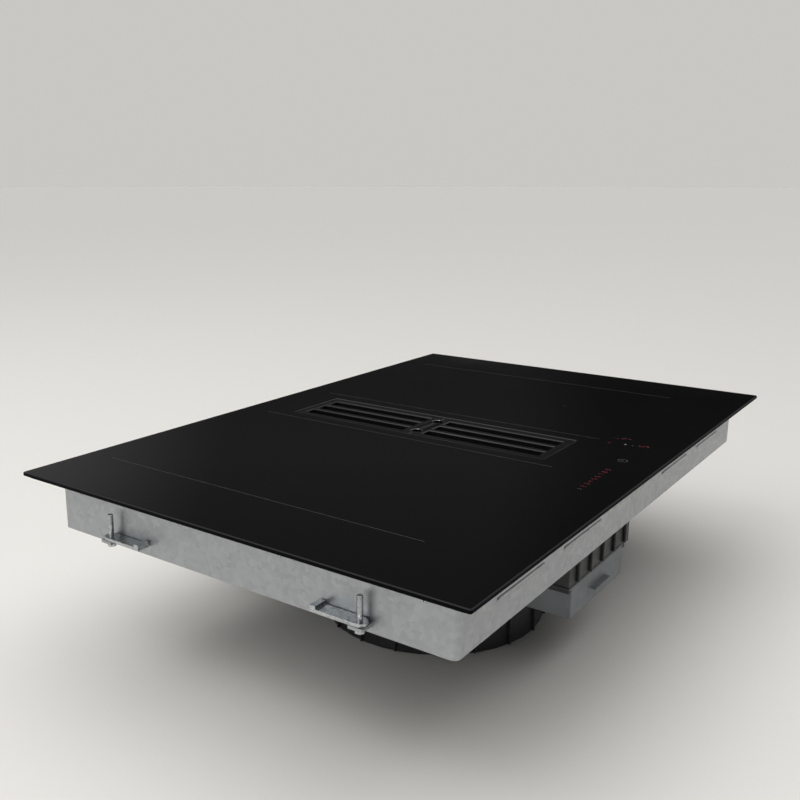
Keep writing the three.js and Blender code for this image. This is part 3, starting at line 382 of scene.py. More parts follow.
def tube(shape, path, radius, sides):
    """A round tube along points, with no twist between them."""
    loops, normal = [], None
    for i, point in enumerate(path):
        along = (path[min(i + 1, len(path) - 1)] - path[max(i - 1, 0)]).normalized()
        normal = along.orthogonal() if normal is None else normal - along * normal.dot(along)
        normal = normal.normalized()
        other = along.cross(normal)
        loops.append([point + radius * (normal * math.cos(a) + other * math.sin(a))
                      for a in (2 * math.pi * k / sides for k in range(sides))])
    loft(shape, loops)


# Lit strokes of each numeral: top, upper right, lower right, foot, lower left, upper left, middle
STROKES = {1: "0110000", 2: "1101101", 3: "1111001", 4: "0110011", 5: "1011011", 6: "1011111",
           7: "1110000", 8: "1111111", 9: "1111011"}


def numeral(shape, value, x, y, wide, tall, stroke, low, high):
    """A seven-stroke numeral centred at (x, y), read from the front."""
    side, end, gap = wide / 2, tall / 2, stroke * 0.65
    across, up = side - gap, end - gap
    strokes = (((-across, end), (across, end)), ((side, up), (side, gap)),
               ((side, -gap), (side, -up)), ((-across, -end), (across, -end)),
               ((-side, -gap), (-side, -up)), ((-side, up), (-side, gap)), ((-across, 0), (across, 0)))
    for lit, stroke_ends in zip(STROKES[value], strokes):
        if lit == "1":
            start, stop = [(x + dx, y + dy) for dx, dy in stroke_ends]
            bar_between(shape, start, stop, stroke, low, high)


def screw_head(shape, point, direction, radius, height):
    """A domed head with a cross recess, that stands on `point` and points in `direction`."""
    sides = 24

    def cross(grow, z):
        long, thin = radius * 0.55 * grow, radius * 0.16 * grow
        points = []
        for i in range(sides):
            angle = 2 * math.pi * i / sides
            c, s = max(abs(math.cos(angle)), 1e-6), max(abs(math.sin(angle)), 1e-6)
            reach = max(min(long / c, thin / s), min(long / s, thin / c))
            points.append(Vector((reach * math.cos(angle), reach * math.sin(angle), z)))
        return points

    # Shares of the radius and of the height
    dome = ((1, 0), (1, 0.35), (0.93, 0.7), (0.75, 0.95))
    loops = [circle(radius * wide, height * tall, sides) for wide, tall in dome]
    loops += [cross(1.0, height), cross(0.8, height * 0.35)]
    turn = Vector(direction).to_track_quat("Z", "Y").to_matrix().to_4x4()
    loft(shape, loops, matrix=Matrix.Translation(point) @ turn)


def shade_smooth(mesh):
    mesh.polygons.foreach_set("use_smooth", [True] * len(mesh.polygons))


def placed_object(name, shape):
    """Turns a bmesh into an object of the scene."""
    mesh = bpy.data.meshes.new(name)
    shape.to_mesh(mesh)
    shape.free()
    made = bpy.data.objects.new(name, mesh)
    bpy.context.scene.collection.objects.link(made)
    return made


def piece(name, build, *finish, body="hob", edge=0.0, smooth=35, replaces=None):
    """Makes a piece from `build`, which fills a bmesh in millimetres, and rides it on a body."""
    shape = bmesh.new()
    build(shape)
    bmesh.ops.remove_doubles(shape, verts=shape.verts, dist=1e-4)
    bmesh.ops.recalc_face_normals(shape, faces=shape.faces)
    bmesh.ops.scale(shape, vec=(MM, MM, MM), verts=shape.verts)
    made = placed_object(name, shape)
    for one in finish:
        made.data.materials.append(finishes()[one])
    shade_smooth(made.data)
    made.data.set_sharp_from_angle(angle=math.radians(smooth))
    if edge:
        soften(made, edge)
    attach(made, body)
    if replaces:
        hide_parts(replaces)


def soften(made, width):
    """Rounds every hard edge by `width` millimetres, as a mould or a deburring wheel leaves it."""
    bevel = made.modifiers.new("Edges", "BEVEL")
    bevel.width = width * MM
    bevel.segments = 2
    bevel.limit_method = "ANGLE"
    bevel.angle_limit = math.radians(38)
    bevel.use_clamp_overlap = True
    made.modifiers.new("Shading", "WEIGHTED_NORMAL").keep_sharp = True


# Faces that turn by less than this are one flat face
FLAT = math.radians(0.6)


def dress(node, finish, edge):
    """Gives a solid of the frame its finish, and eases its edges without moving them."""
    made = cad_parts[node]
    mesh = made.data
    mesh.materials.clear()
    mesh.materials.append(finishes()[finish])
    if "custom_normal" in mesh.attributes:
        mesh.attributes.remove(mesh.attributes["custom_normal"])
    shade_smooth(mesh)
    made.modifiers.new("Weld", "WELD").merge_threshold = 1e-5
    flats = made.modifiers.new("Flats", "DECIMATE")
    flats.decimate_type = "DISSOLVE"
    flats.angle_limit = FLAT
    soften(made, edge)


def dress_all(finish, **edges):
    """Dresses several solids alike, each named with its own easing."""
    for node, edge in edges.items():
        dress(node, finish, edge)


# ------------------------ sizes and colours


def length(name, text, millimetres):
    """A length that a user may change, kept in metres."""
    return bpy.props.FloatProperty(name=name, description=text, default=millimetres * MM,
                                   unit="LENGTH", subtype="DISTANCE", precision=5)


def colour(name, text, hex_colour):
    """A colour that a user may change."""
    return bpy.props.FloatVectorProperty(name=name, description=text, size=3, subtype="COLOR",
                                         min=0, max=1, default=linear(hex_colour)[:3])


class GlassSettings(bpy.types.PropertyGroup):
    bevel: length("Ground edge", "Width of the facet ground round the top of the plate", 0.8)
    corner: length("Corner", "Radius of the plate's corners", 2.5)
    line_width: length("Printed line", "Width of the lines that part the zones", 0.55)
    line_inner: length("Inner lines", "Distance of the inner lines from the middle", 64.3)
    line_outer: length("Outer lines", "Distance of the outer lines from the middle", 314)
    glass_colour: colour("Glass", "Body colour of the glass-ceramic", "#070708")
    print_colour: colour("Ink", "Colour of the printed lines", "#39393B")


class GrilleSettings(bpy.types.PropertyGroup):
    edge: length("Edge rounding", "Rounding of the cast edges", 0.35)
    sink: length("Sink", "Depth of the grille's face below the collar's rim", 0.7)
    coat_colour: colour("Powder coat", "Colour of the grille and its collar", "#121213")


class CasingSettings(bpy.types.PropertyGroup):
    screw_radius: length("Screw head", "Radius of the casing's screw heads", 3.2)
    bead_width: length("Bead", "Width of the stiffening beads pressed into the walls", 5)


class StageSettings(bpy.types.PropertyGroup):
    floor_radius: length("Floor", "Radius of the floor", 40000)
    floor_colour: colour("Floor", "Colour of the floor", "#D8D6D2")
    lens: bpy.props.FloatProperty(name="Lens", description="Focal length of the camera",
                                  default=41.63, unit="CAMERA", min=1)


# ------------------------ glass, print and lights


# Prints and lights stand this far out of the glass, and reach this far down from there
PRINT_RISE = 0.05
PRINT_DEPTH = 0.3
# Corners of the intake's opening in the glass, and how far the collar's flange runs under it
INTAKE_CORNER = 3.0
COLLAR_FLANGE = 10


def intake_loops(profile, steps):
    """Loops round the intake's opening, from pairs of a distance outside it and a height."""
    low, high = node_box("intake_collar")
    middle, size = (low + high) / 2, high - low
    width, depth = size.x - 2 * COLLAR_FLANGE, size.y - 2 * COLLAR_FLANGE
    return [rounded(width + 2 * grow, depth + 2 * grow, INTAKE_CORNER + grow, z, steps,
                    middle.x, middle.y) for grow, z in profile]


class COOKTOP_OT_glass(bpy.types.Operator):
    """Glass-ceramic plate with its ground edges and the intake cut through it"""

    bl_idname = "cooktop.glass"
    bl_label = "Glass plate"

    def execute(self, context):
        look = context.scene.cooktop_glass
        low, high = node_box("glass_plate")
        bevel, corner = look.bevel / MM, look.corner / MM
        top = high.z - PRINT_RISE
        # Distance inside the plate's outline, or outside the opening, and height
        outer = ((0.5, low.z), (0.0, low.z + 0.5), (0.0, top - bevel - 0.1),
                 (0.12, top - bevel + 0.05), (bevel, top - 0.12), (bevel + 0.35, top),
                 (bevel + 0.6, top))
        inner = ((1.2, top), (0.9, top), (0.15, top - 0.65), (0.0, top - 0.85), (0.0, low.z))
        steps = 10
        loops = [rounded(high.x - low.x - 2 * inset, high.y - low.y - 2 * inset, corner - inset,
                         z, steps) for inset, z in outer]
        loops += intake_loops(inner, steps)
        polished, ground, cut = range(3)
        marks = [*[cut] * 3, *[ground] * 2, *[polished] * 3, *[cut] * 3, polished]
        piece("ceramic_glass", lambda shape: loft(shape, loops, closed=True, marks=marks),
              "glass", "edge", "cut_side", smooth=25, replaces="glass_plate")
        return {"FINISHED"}


class COOKTOP_OT_print(bpy.types.Operator):
    """Printed lines and marks on the glass"""

    bl_idname = "cooktop.print"
    bl_label = "Printed lines"

    def execute(self, context):
        look = context.scene.cooktop_glass
        high = node_box("glass_plate")[1].z
        low = high - PRINT_DEPTH
        width = look.line_width / MM

        def lines(shape):
            front = -168
            for x, back in ((look.line_inner / MM, 222), (look.line_outer / MM, 225)):
                for side in (-1, 1):
                    bar_between(shape, (side * x, front), (side * x, back), width, low, high)

        def mark(shape):
            bar_between(shape, (188, -73.5), (188, -69), 0.55, low, high)

        def key(shape):
            # A ring round two short hands, one of them a hair lower so that they don't coincide
            x, y = 0, -219.2
            ring = ((5.1, low), (5.1, high), (4.65, high), (4.65, low))
            turned(shape, ring, 40, x, y, closed=True)
            bar_between(shape, (x, y), (x, y + 3.2), 0.5, low, high)
            bar_between(shape, (x, y), (x + 2.4, y), 0.5, low, high - 0.005)

        piece("printed_lines", lines, "ink")
        piece("printed_zone_mark", mark, "ink")
        piece("printed_key", key, "dim_light")
        return {"FINISHED"}


class COOKTOP_OT_lit_marks(bpy.types.Operator):
    """Lit marks of the touch control, which shine through the glass"""

    bl_idname = "cooktop.lit_marks"
    bl_label = "Lit marks"

    def execute(self, context):
        high = node_box("glass_plate")[1].z
        low = high - PRINT_DEPTH
        row_y, pitch = -218.3, 9.2
        # Width and height of a numeral
        small, large = (2.6, 5.0), (4.8, 9.8)

        def slider(shape):
            for step in range(1, 9):
                numeral(shape, step + 1, -112.8 + step * pitch, row_y, *small, 0.8, low, high)

        def digits(shape):
            numeral(shape, 7, 81, -194, *large, 1.0, low, high)
            numeral(shape, 5, 64.5, -219.2, *large, 1.0, low, high)
            bar_between(shape, (56.9, -184.4), (56.9, -180.3), 0.9, low, high)
            bar_between(shape, (78.5, -186), (78.5, -180), 0.35, low, high)

        def bright(shape):
            turned(shape, ((1.5, low), (1.5, high)), 20, 60.7, -199.7)

        def first(shape):
            numeral(shape, 1, -114.1, row_y, *small, 1.0, low, high)

        def faint(shape):
            turned(shape, ((0.8, low), (0.8, high)), 16, 60.4, -208.1)

        for name, build, light in (("slider", slider, "red"), ("digits", digits, "red"),
                                   ("bright_mark", bright, "white"),
                                   ("slider_start", first, "pink"), ("faint_marks", faint, "dim")):
            piece(f"lit_{name}", build, f"{light}_light")
        return {"FINISHED"}


# ------------------------ grille and filters


# Where slots end in each half of the grille, and how far that end is moved
SLOT_ENDS = {"front": ((-135.4, -2.0), (8.0, 3.0)), "rear": ((181.9, 4.0),)}
# Distance of the finger scoops at the seam from the middle
SCOOP_X = 24.5


class COOKTOP_OT_grille(bpy.types.Operator):
    """Lift-off grille and the collar that it lies in"""

    bl_idname = "cooktop.grille"
    bl_label = "Grille and collar"

    def execute(self, context):
        look = context.scene.cooktop_grille
        edge, sink = look.edge / MM, look.sink / MM
        top = node_box("intake_collar")[1].z
        for row in ROWS:
            piece(f"cast_grille_{row}", lambda shape: self.half(shape, row, top, sink),
                  "coat", body=f"grille_{row}", edge=edge, replaces=f"grille_{row}")
            piece(f"scoop_liners_{row}", lambda shape: self.scoop_liners(shape, row, top - sink),
                  "zinc", body=f"grille_{row}", smooth=60)
        low = node_box("intake_collar")[0].z
        under = node_box("glass_plate")[0].z - 0.3
        rim, seat = top - sink + 0.1, top - 8.3
        # Distance outside the opening, and height: a ring whose rim slopes in to the grille
        collar = ((-0.5, low), (-0.5, under - 2.5), (COLLAR_FLANGE, under - 2.5),
                  (COLLAR_FLANGE, under), (-0.5, under), (-0.5, top - 0.1), (-0.6, top),
                  (-1.4, rim), (-2.1, rim), (-2.1, seat), (-6.1, seat), (-6.1, low))
        # The same for a narrow foam strip that closes the gap between the glass and the collar
        joint = ((-0.05, top - 2), (-0.05, top - 0.55), (-0.5, top - 0.12), (-0.5, top - 2))
        piece("cast_collar", lambda shape: loft(shape, intake_loops(collar, 6), closed=True),
              "coat", smooth=25, replaces="intake_collar")
        piece("collar_joint", lambda shape: loft(shape, intake_loops(joint, 6), closed=True), "foam")
        return {"FINISHED"}

    @staticmethod
    def half(shape, row, top, sink):
        """Copy of half the grille whose face lies `sink` lower."""
        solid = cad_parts[f"grille_{row}"]
        shape.from_mesh(solid.data)
        bmesh.ops.transform(shape, matrix=Matrix.Scale(1 / MM, 4) @ solid.matrix_world,
                            verts=shape.verts)
        bmesh.ops.remove_doubles(shape, verts=shape.verts, dist=0.01)
        low, high = node_box(f"grille_{row}")
        outer = low.y if row == "front" else high.y
        easing = 0.9
        for spot in (corner.co for corner in shape.verts):
            # The outer edges are sharp, and the slots end nearer to the half's own ends
            if spot.z > top - 0.05:
                if abs(spot.x) > high.x - easing:
                    spot.x = math.copysign(high.x, spot.x)
                if abs(spot.y - outer) < easing:
                    spot.y = outer
            for end, shift in SLOT_ENDS[row]:
                if abs(spot.x) < 35 and abs(spot.y - end) < 1.2 and spot.z > low.z + 5:
                    spot.y += shift
        bmesh.ops.dissolve_limit(shape, angle_limit=FLAT, verts=shape.verts, edges=shape.edges)
        COOKTOP_OT_grille.groove(shape, top, ROWS[row])
        for corner in shape.verts:
            if corner.co.z > top - 1.05:
                corner.co.z -= sink
        COOKTOP_OT_grille.put_in_order(shape)

    @staticmethod
    def groove(shape, top, side):
        """A dark groove along the seam, which ends in the finger scoops."""
        seam = (node_box("grille_front")[1].y + node_box("grille_rear")[0].y) / 2
        middle, half, depth = seam + side * 6.9, 1.2, 2.6

        def face_of_half():
            return [face for face in shape.faces if abs(face.calc_center_median().z - top) < 0.1]

        along, across = (0, 1, 0), (1, 0, 0)
        for point, normal in (((0, middle - half, 0), along), ((0, middle + half, 0), along),
                              ((-SCOOP_X, 0, 0), across), ((SCOOP_X, 0, 0), across)):
            near = face_of_half()
            parts = [part for face in near for part in (*face.verts, *face.edges)]
            bmesh.ops.bisect_plane(shape, geom=[*dict.fromkeys(parts), *near], plane_co=point,
                                   plane_no=normal)
        cut = [face for face in face_of_half()
               if abs(face.calc_center_median().y - middle) < half
               and abs(face.calc_center_median().x) < SCOOP_X]
        sunk = bmesh.ops.extrude_face_region(shape, geom=cut)["geom"]
        bmesh.ops.translate(shape, vec=(0, 0, -depth),
                            verts=[one for one in sunk if isinstance(one, bmesh.types.BMVert)])
        bmesh.ops.delete(shape, geom=cut, context="FACES_ONLY")

    @staticmethod
    def put_in_order(shape):
        """Makes the faces anew in a fixed order, as cutting leaves them in one that varies."""
        shape.verts.index_update()
        points = [corner.co.copy() for corner in shape.verts]
        rings = []
        for face in shape.faces:
            ring = [corner.index for corner in face.verts]
            first = ring.index(min(ring))
            rings.append(ring[first:] + ring[:first])
        shape.clear()
        made = [shape.verts.new(point) for point in points]
        for ring in sorted(rings):
            shape.faces.new([made[i] for i in ring])

    @staticmethod
    def scoop_liners(shape, row, top):
        """Thin bright liners pressed into the finger scoops at the seam."""
        low, high = node_box(f"grille_{row}")
        seam, turn = (high.y, math.pi) if row == "front" else (low.y, 0)
        radius, count = 6.7, 17
        angles = [turn + math.pi * (i + 0.5) / count for i in range(count)]
        for x in (-SCOOP_X, SCOOP_X):
            tube(shape, [Vector((x + radius * math.cos(a), seam + radius * math.sin(a), top - 0.5))
                         for a in angles], 0.3, 6)


class COOKTOP_OT_filters(bpy.types.Operator):
    """Grease filters with their expanded-metal faces"""

    bl_idname = "cooktop.filters"
    bl_label = "Grease filters"

    def execute(self, context):
        for row in ROWS:
            dress(f"filter_frame_{row}", "stainless", 0.3)
            dress(f"filter_core_{row}", "aluminium", 0.15)
            low, high = node_box(f"filter_core_{row}")

            def mesh_face(shape):
                # Zigzag strands of expanded metal, 6 mm by 9 mm diamonds
                pitch, step, margin = 6.0, 4.5, 3
                columns = int((high.x - low.x - margin) // pitch)
                rows = int((high.y - low.y - margin) // step)
                left = (low.x + high.x) / 2 - columns * pitch / 2
                front = (low.y + high.y) / 2 - rows * step / 2
                for i in range(columns + 1):
                    for side in (-1, 1):
                        path = [Vector((left + i * pitch + side * pitch / 2 * (j % 2),
                                        front + j * step, high.z + 0.45)) for j in range(rows + 1)]
                        tube(shape, path, 0.4, 4)

            piece(f"filter_mesh_{row}", mesh_face, "stainless", body=f"filter_{row}", smooth=60)
        return {"FINISHED"}


# ------------------------ coils and electronics


class COOKTOP_OT_coils(bpy.types.Operator):
    """Induction coils, their carriers, the mica over them and the decks below"""

    bl_idname = "cooktop.coils"
    bl_label = "Induction coils"

    def execute(self, context):
        for side in SIDES:
            dress(f"mica_sheet_{side}", "mica", 0.1)
            dress(f"coil_deck_{side}", "aluminium", 0.3)
            for row in ROWS:
                spot = f"{row}_{side}"
                for node in ("coil_carrier", "temperature_sensor"):
                    dress(f"{node}_{spot}", "white_plastic", 0.3)
                low, high = node_box(f"coil_winding_{spot}")
                piece(f"litz_winding_{spot}", lambda shape: self.winding(shape, low, high),
                      "copper", smooth=60, replaces=f"coil_winding_{spot}")
        return {"FINISHED"}

    @staticmethod
    def winding(shape, low, high):
        """Turns of litz wound flat round an oblong eye."""
        width, depth = high.x - low.x, high.y - low.y
        x, y, middle = [(a + b) / 2 for a, b in zip(low, high)]
        half = (high.z - low.z) / 2
        corner, eye_corner = 80, 15
        turns, band = 16, 64.0
        pitch = band / turns
        # Across one turn: shares of the pitch and of half the thickness
        bulge = ((0.0, 0.35), (0.2, 0.85), (0.5, 1.0), (0.8, 0.85))
        crown = [((i + share) * pitch, half * rise) for i in range(turns) for share, rise in bulge]
        crown.append((band, half * bulge[0][1]))
        profile = [(inset, middle + rise) for inset, rise in crown]
        profile += [(inset, middle - rise) for inset, rise in reversed(crown)]
        loft(shape, [rounded(width - 2 * inset, depth - 2 * inset, max(corner - inset, eye_corner),
                             z, 7, x, y) for inset, z in profile], closed=True)


class COOKTOP_OT_electronics(bpy.types.Operator):
    """Power boards, heat sinks, cooling fans and the touch control under the glass"""

    bl_idname = "cooktop.electronics"
    bl_label = "Electronics"

    def execute(self, context):
        for side in SIDES:
            self.power_board(side)
            dress(f"heat_sink_{side}", "extrusion", 0.2)
            dress(f"cooling_fan_frame_{side}", "black_plastic", 0.5)
            dress(f"cooling_fan_rotor_{side}", "black_plastic", 0.3)
        dress("touch_tray", "black_plastic", 0.3)
        dress("touch_board", "board", 0.15)
        dress("light_guides", "acrylic", 0.15)
        return {"FINISHED"}

    @staticmethod
    def power_board(side):
        """Power board with its stand-offs, wound chokes, capacitors, relays and connectors."""
        low, high = node_box(f"power_board_{side}")
        x, y = (low.x + high.x) / 2, (low.y + high.y) / 2
        # The node's box takes in the tallest part, 24 mm above the board
        top = high.z - 24
        under = top - 1.6
        chokes = [(x + offset, y + 45) for offset in (-95, -55, 55, 95)]

        def sheet(shape):
            loft(shape, [rounded(high.x - low.x, high.y - low.y, 3, z, 4, x, y) for z in (under, top)])

        def standoffs(shape):
            for spot in corners(low, high, 8):
                turned(shape, ((4, low.z), (4, under)), 6, *spot)
                screw_head(shape, (*spot, top), (0, 0, 1), 3.4, 1.8)

        def cores(shape):
            ring = ((13, 0), (13.4, 1), (13.4, 16), (13, 17), (5, 17), (4.6, 16), (4.6, 1), (5, 0))
            for spot in chokes:
                turned(shape, ring, 28, *spot, top, closed=True)

        def windings(shape):
            turns = 20
            section = ((4.2, 0.8), (4.2, 16.2), (5.2, 17.6), (12.6, 17.6), (13.3, 16.6), (13.3, 0.8))
            for cx, cy in chokes:
                for turn in range(turns):
                    angle = 2 * math.pi * (turn + 0.5) / turns
                    out = Vector((math.cos(angle), math.sin(angle), 0))
                    tube(shape, [Vector((cx, cy, top + z)) + out * radius
                                 for radius, z in section], 0.7, 6)

        def film_capacitor(shape):
            block(shape, (x - 18, y + 37, top), (x + 18, y + 53, top + 24), 1.0)

        def round_capacitors(shape):
            # Radius and height: the can's crimp near its foot, then its aluminium end
            can = ((5.4, 0), (5.4, 1.6), (5.0, 2.2), (5.4, 2.8), (5.4, 15.6), (4.9, 16), (4.2, 15.7))
            for cx in (x - 31, x + 31):
                for cy in (y + 38, y + 52):
                    turned(shape, can, 24, cx, cy, top, marks=[0, 0, 0, 0, 0, 1])

        def dark_parts(shape):
            # Relays, two chips and rows of small resistors
            for cx in (x - 113, x + 113):
                block(shape, (cx - 14, y - 43.5, top), (cx + 14, y - 31.5, top + 12), 0.6)
            for cx in (x - 100, x + 88):
                block(shape, (cx - 8, y + 2, top), (cx + 8, y + 18, top + 2), 0.2)
            for i in range(12):
                for row in range(3):
                    cx, cy = x - 44 + i * 8, y + 4 + row * 6
                    block(shape, (cx - 1.6, cy - 0.8, top), (cx + 1.6, cy + 0.8, top + 0.7), 0.1)

        def connectors(shape):
            for cx in (x - 75, x - 25, x + 25, x + 75):
                block(shape, (cx - 13, y + 64, top), (cx + 13, y + 72, top + 8), 0.5)
                for way in range(6):
                    left = cx - 12 + way * 4.1
                    block(shape, (left, y + 63, top + 3), (left + 3.4, y + 64.2, top + 9), 0.2)

        piece(f"board_sheet_{side}", sheet, "board", replaces=f"power_board_{side}")
        for name, build, *finish in (("board_standoffs", standoffs, "zinc"),
                                     ("choke_cores", cores, "black_plastic"),
                                     ("choke_windings", windings, "copper"),
                                     ("film_capacitor", film_capacitor, "yellow_plastic"),
                                     ("round_capacitors", round_capacitors, "black_plastic",
                                      "aluminium"),
                                     ("board_dark_parts", dark_parts, "black_plastic"),
                                     ("board_connectors", connectors, "white_plastic")):
            piece(f"{name}_{side}", build, *finish)


# ------------------------ casing and clamps


# Distance of the casing's side walls, and of its front and rear walls, from the middle
WALL_X = 372.0
WALL_Y = 234.0


class COOKTOP_OT_casing(bpy.types.Operator):
    """Galvanised casing with its screws and beads, the seal and the clamps"""

    bl_idname = "cooktop.casing"
    bl_label = "Casing"

    def execute(self, context):
        look = context.scene.cooktop_casing
        dress("casing_pan", "galvanised", 0.5)
        dress("edge_seal", "foam", 0.5)
        foot = node_box("casing_pan")[0].z
        radius = look.screw_radius / MM
        screw_z, bead_z = foot + 44, foot + 26

        def screws(shape):
            spots = [((x, side * WALL_Y), (0, side)) for x in (-330, -200, -70, 70, 200, 330)
                     for side in (-1, 1)]
            spots += [((side * WALL_X, y), (side, 0)) for y in (-205, -60, 60, 205) for side in (-1, 1)]
            for spot, out in spots:
                screw_head(shape, (*spot, screw_z), (*out, 0), radius, radius * 0.6)

        def beads(shape):
            for side in (-1, 1):
                for x in (-265, -135, 135, 265):
                    bead(shape, (x, side * WALL_Y, bead_z), side, 42, look.bead_width / MM / 2)

        piece("casing_screws", screws, "zinc")
        piece("casing_beads", beads, "galvanised", smooth=50)
        for row in ROWS:
            for side in SIDES:
                dress(f"clamp_{row}_{side}", "zinc", 0.3)

                def thread(shape):
                    # Rolled thread of the clamp's screw, 1 mm pitch drawn at 1.4 mm
                    x, y = SIDES[side] * 380, ROWS[row] * 150
                    low, high, pitch, radius = 164.5, 182.2, 1.4, 2.45
                    per_turn = 12
                    steps = int((high - low) / pitch * per_turn)
                    path = [Vector((x + radius * math.cos(2 * math.pi * i / per_turn),
                                    y + radius * math.sin(2 * math.pi * i / per_turn),
                                    low + (high - low) * i / steps)) for i in range(steps + 1)]
                    tube(shape, path, 0.45, 5)

                piece(f"clamp_thread_{row}_{side}", thread, "zinc",
                      body=f"clamp_{row}_{side}", smooth=60)
        return {"FINISHED"}


def bead(shape, middle, side, reach, half):
    """A low rounded ridge pressed out of the front or rear wall, to stiffen it."""
    along, out = Vector((1, 0, 0)), Vector((0, side, 0))
    turn = Matrix((along, along.cross(out), out)).transposed().to_4x4()
    rise = 1.2
    profile = ((0, -0.2), (0.2, rise * 0.4), (half * 0.35, rise * 0.85), (half * 0.7, rise))
    loft(shape, [rounded(2 * (reach + half - inset), 2 * (half - inset), half - inset, z, 5)
                 for inset, z in profile], matrix=Matrix.Translation(middle) @ turn)


# ------------------------ air path


class COOKTOP_OT_air_box(bpy.types.Operator):
    """Well, box and drip tray that lead the air and any spilt liquid down"""

    bl_idname = "cooktop.air_box"
    bl_label = "Air box"

    def execute(self, context):
        dress("collar_gasket", "foam", 0.3)
        dress_all("black_plastic", intake_well=0.4, plenum_hood=0.8, plenum_floor=0.5)
        dress("drip_tray", "grey_plastic", 0.8)
        low, high = node_box("plenum_hood")

        def on_side_walls(shape, y, half, reach, sink, foot, head, edge):
            """A block on the outer face of either side wall."""
            for left, right in ((low.x - reach, low.x), (high.x, high.x + reach)):
                block(shape, (left - sink, y - half, foot), (right + sink, y + half, head), edge)

        def ribs(shape):
            # Moulded ribs stiffen the box's walls
            foot, head, reach, sink = low.z + 1, high.z - 3, 3.5, 0.2
            for i in range(9):
                y = low.y + 22 + i * (high.y - low.y - 44) / 8
                on_side_walls(shape, y, 1, reach, sink, foot, head, 0.4)
            for i in range(5):
                x = low.x + 18 + i * (high.x - low.x - 36) / 4
                block(shape, (x - 1, low.y - reach, foot), (x + 1, low.y + sink, head), 0.4)

        def clips(shape):
            # Snap hooks hold the floor to the box
            for y in (-150, -60, 60, 150):
                on_side_walls(shape, y, 6, 2.6, 0.1, low.z - 4.5, low.z + 12, 0.5)

        piece("plenum_ribs", ribs, "black_plastic")
        piece("plenum_clips", clips, "black_plastic")
        return {"FINISHED"}


class COOKTOP_OT_fan(bpy.types.Operator):
    """Fan housing with its ribs and screw posts, the fan wheel and the motor"""

    bl_idname = "cooktop.fan"
    bl_label = "Fan"

    def execute(self, context):
        dress_all("black_plastic", fan_housing_lower=1.0, fan_housing_lid=0.6, outlet_flange=0.5)
        dress("fan_wheel", "rotor_plastic", 0.2)
        dress("motor_shaft", "zinc", 0.2)
        dress("motor_housing", "zinc", 0.5)
        dress("motor_cushion", "rubber", 0.6)
        # The scroll's outer wall widens round the fan's axis, from the tongue to the diffuser
        axis = (-39.0, 0.0)
        narrow, wide, tongue = 105.5, 152.5, math.pi / 3
        top = node_box("fan_housing_lower")[1].z
        angles = [math.radians(degrees) for degrees in range(84, 350, 19)]

        def away(angle):
            return Vector((math.cos(angle), math.sin(angle)))

        def wall(angle):
            radius = narrow + (angle - tongue) / (2 * math.pi - tongue) * (wide - narrow)
            return Vector((axis[0] + radius * math.cos(angle), axis[1] + radius * math.sin(angle)))

        def ribs(shape):
            feet = [(wall(a) - away(a) * 0.8, wall(a) + away(a) * 3.2) for a in angles]
            feet += [((113.2, y), (116.8, y)) for y in (40, 90, 140, 190)]
            for start, end in feet:
                bar_between(shape, start, end, 2.0, 1.0, top - 8)

        # Screw posts, along the scroll and along the diffuser's straight wall
        posts = [wall(angle) + away(angle) * 3.4 for angle in angles[::2]]
        posts += [Vector((116.6, y)) for y in (65, 165, 225)]
        # Radius, and height above the housing's top
        boss = ((2.2, -26), (4.2, -20), (4.2, -0.3), (3.8, 0))
        ear = ((3.9, 0.3), (4.4, 0.6), (4.4, 2.4), (4.1, 2.6))

        def at_posts(shape, profile):
            for spot in posts:
                turned(shape, profile, 20, *spot, top)

        piece("fan_housing_ribs", ribs, "black_plastic", edge=0.4)
        piece("fan_housing_bosses", lambda shape: at_posts(shape, boss), "black_plastic")
        piece("fan_lid_ears", lambda shape: at_posts(shape, ear), "black_plastic")
        return {"FINISHED"}


class COOKTOP_OT_mains(bpy.types.Operator):
    """Terminal box with its cover screws, the gland and the wires"""

    bl_idname = "cooktop.mains"
    bl_label = "Mains connection"

    def execute(self, context):
        dress_all("grey_plastic", terminal_box=1.0, terminal_cover=0.7)
        dress("terminal_block", "white_plastic", 0.3)
        dress("cable_gland", "black_plastic", 0.5)
        dress("wiring_harness", "sheath", 0.1)
        low, high = node_box("terminal_cover")

        def screws(shape):
            for spot in corners(low, high, 7):
                screw_head(shape, (*spot, low.z + 0.1), (0, 0, -1), 3.4, 2.0)

        piece("cover_screws", screws, "zinc")
        return {"FINISHED"}


# ------------------------ stage


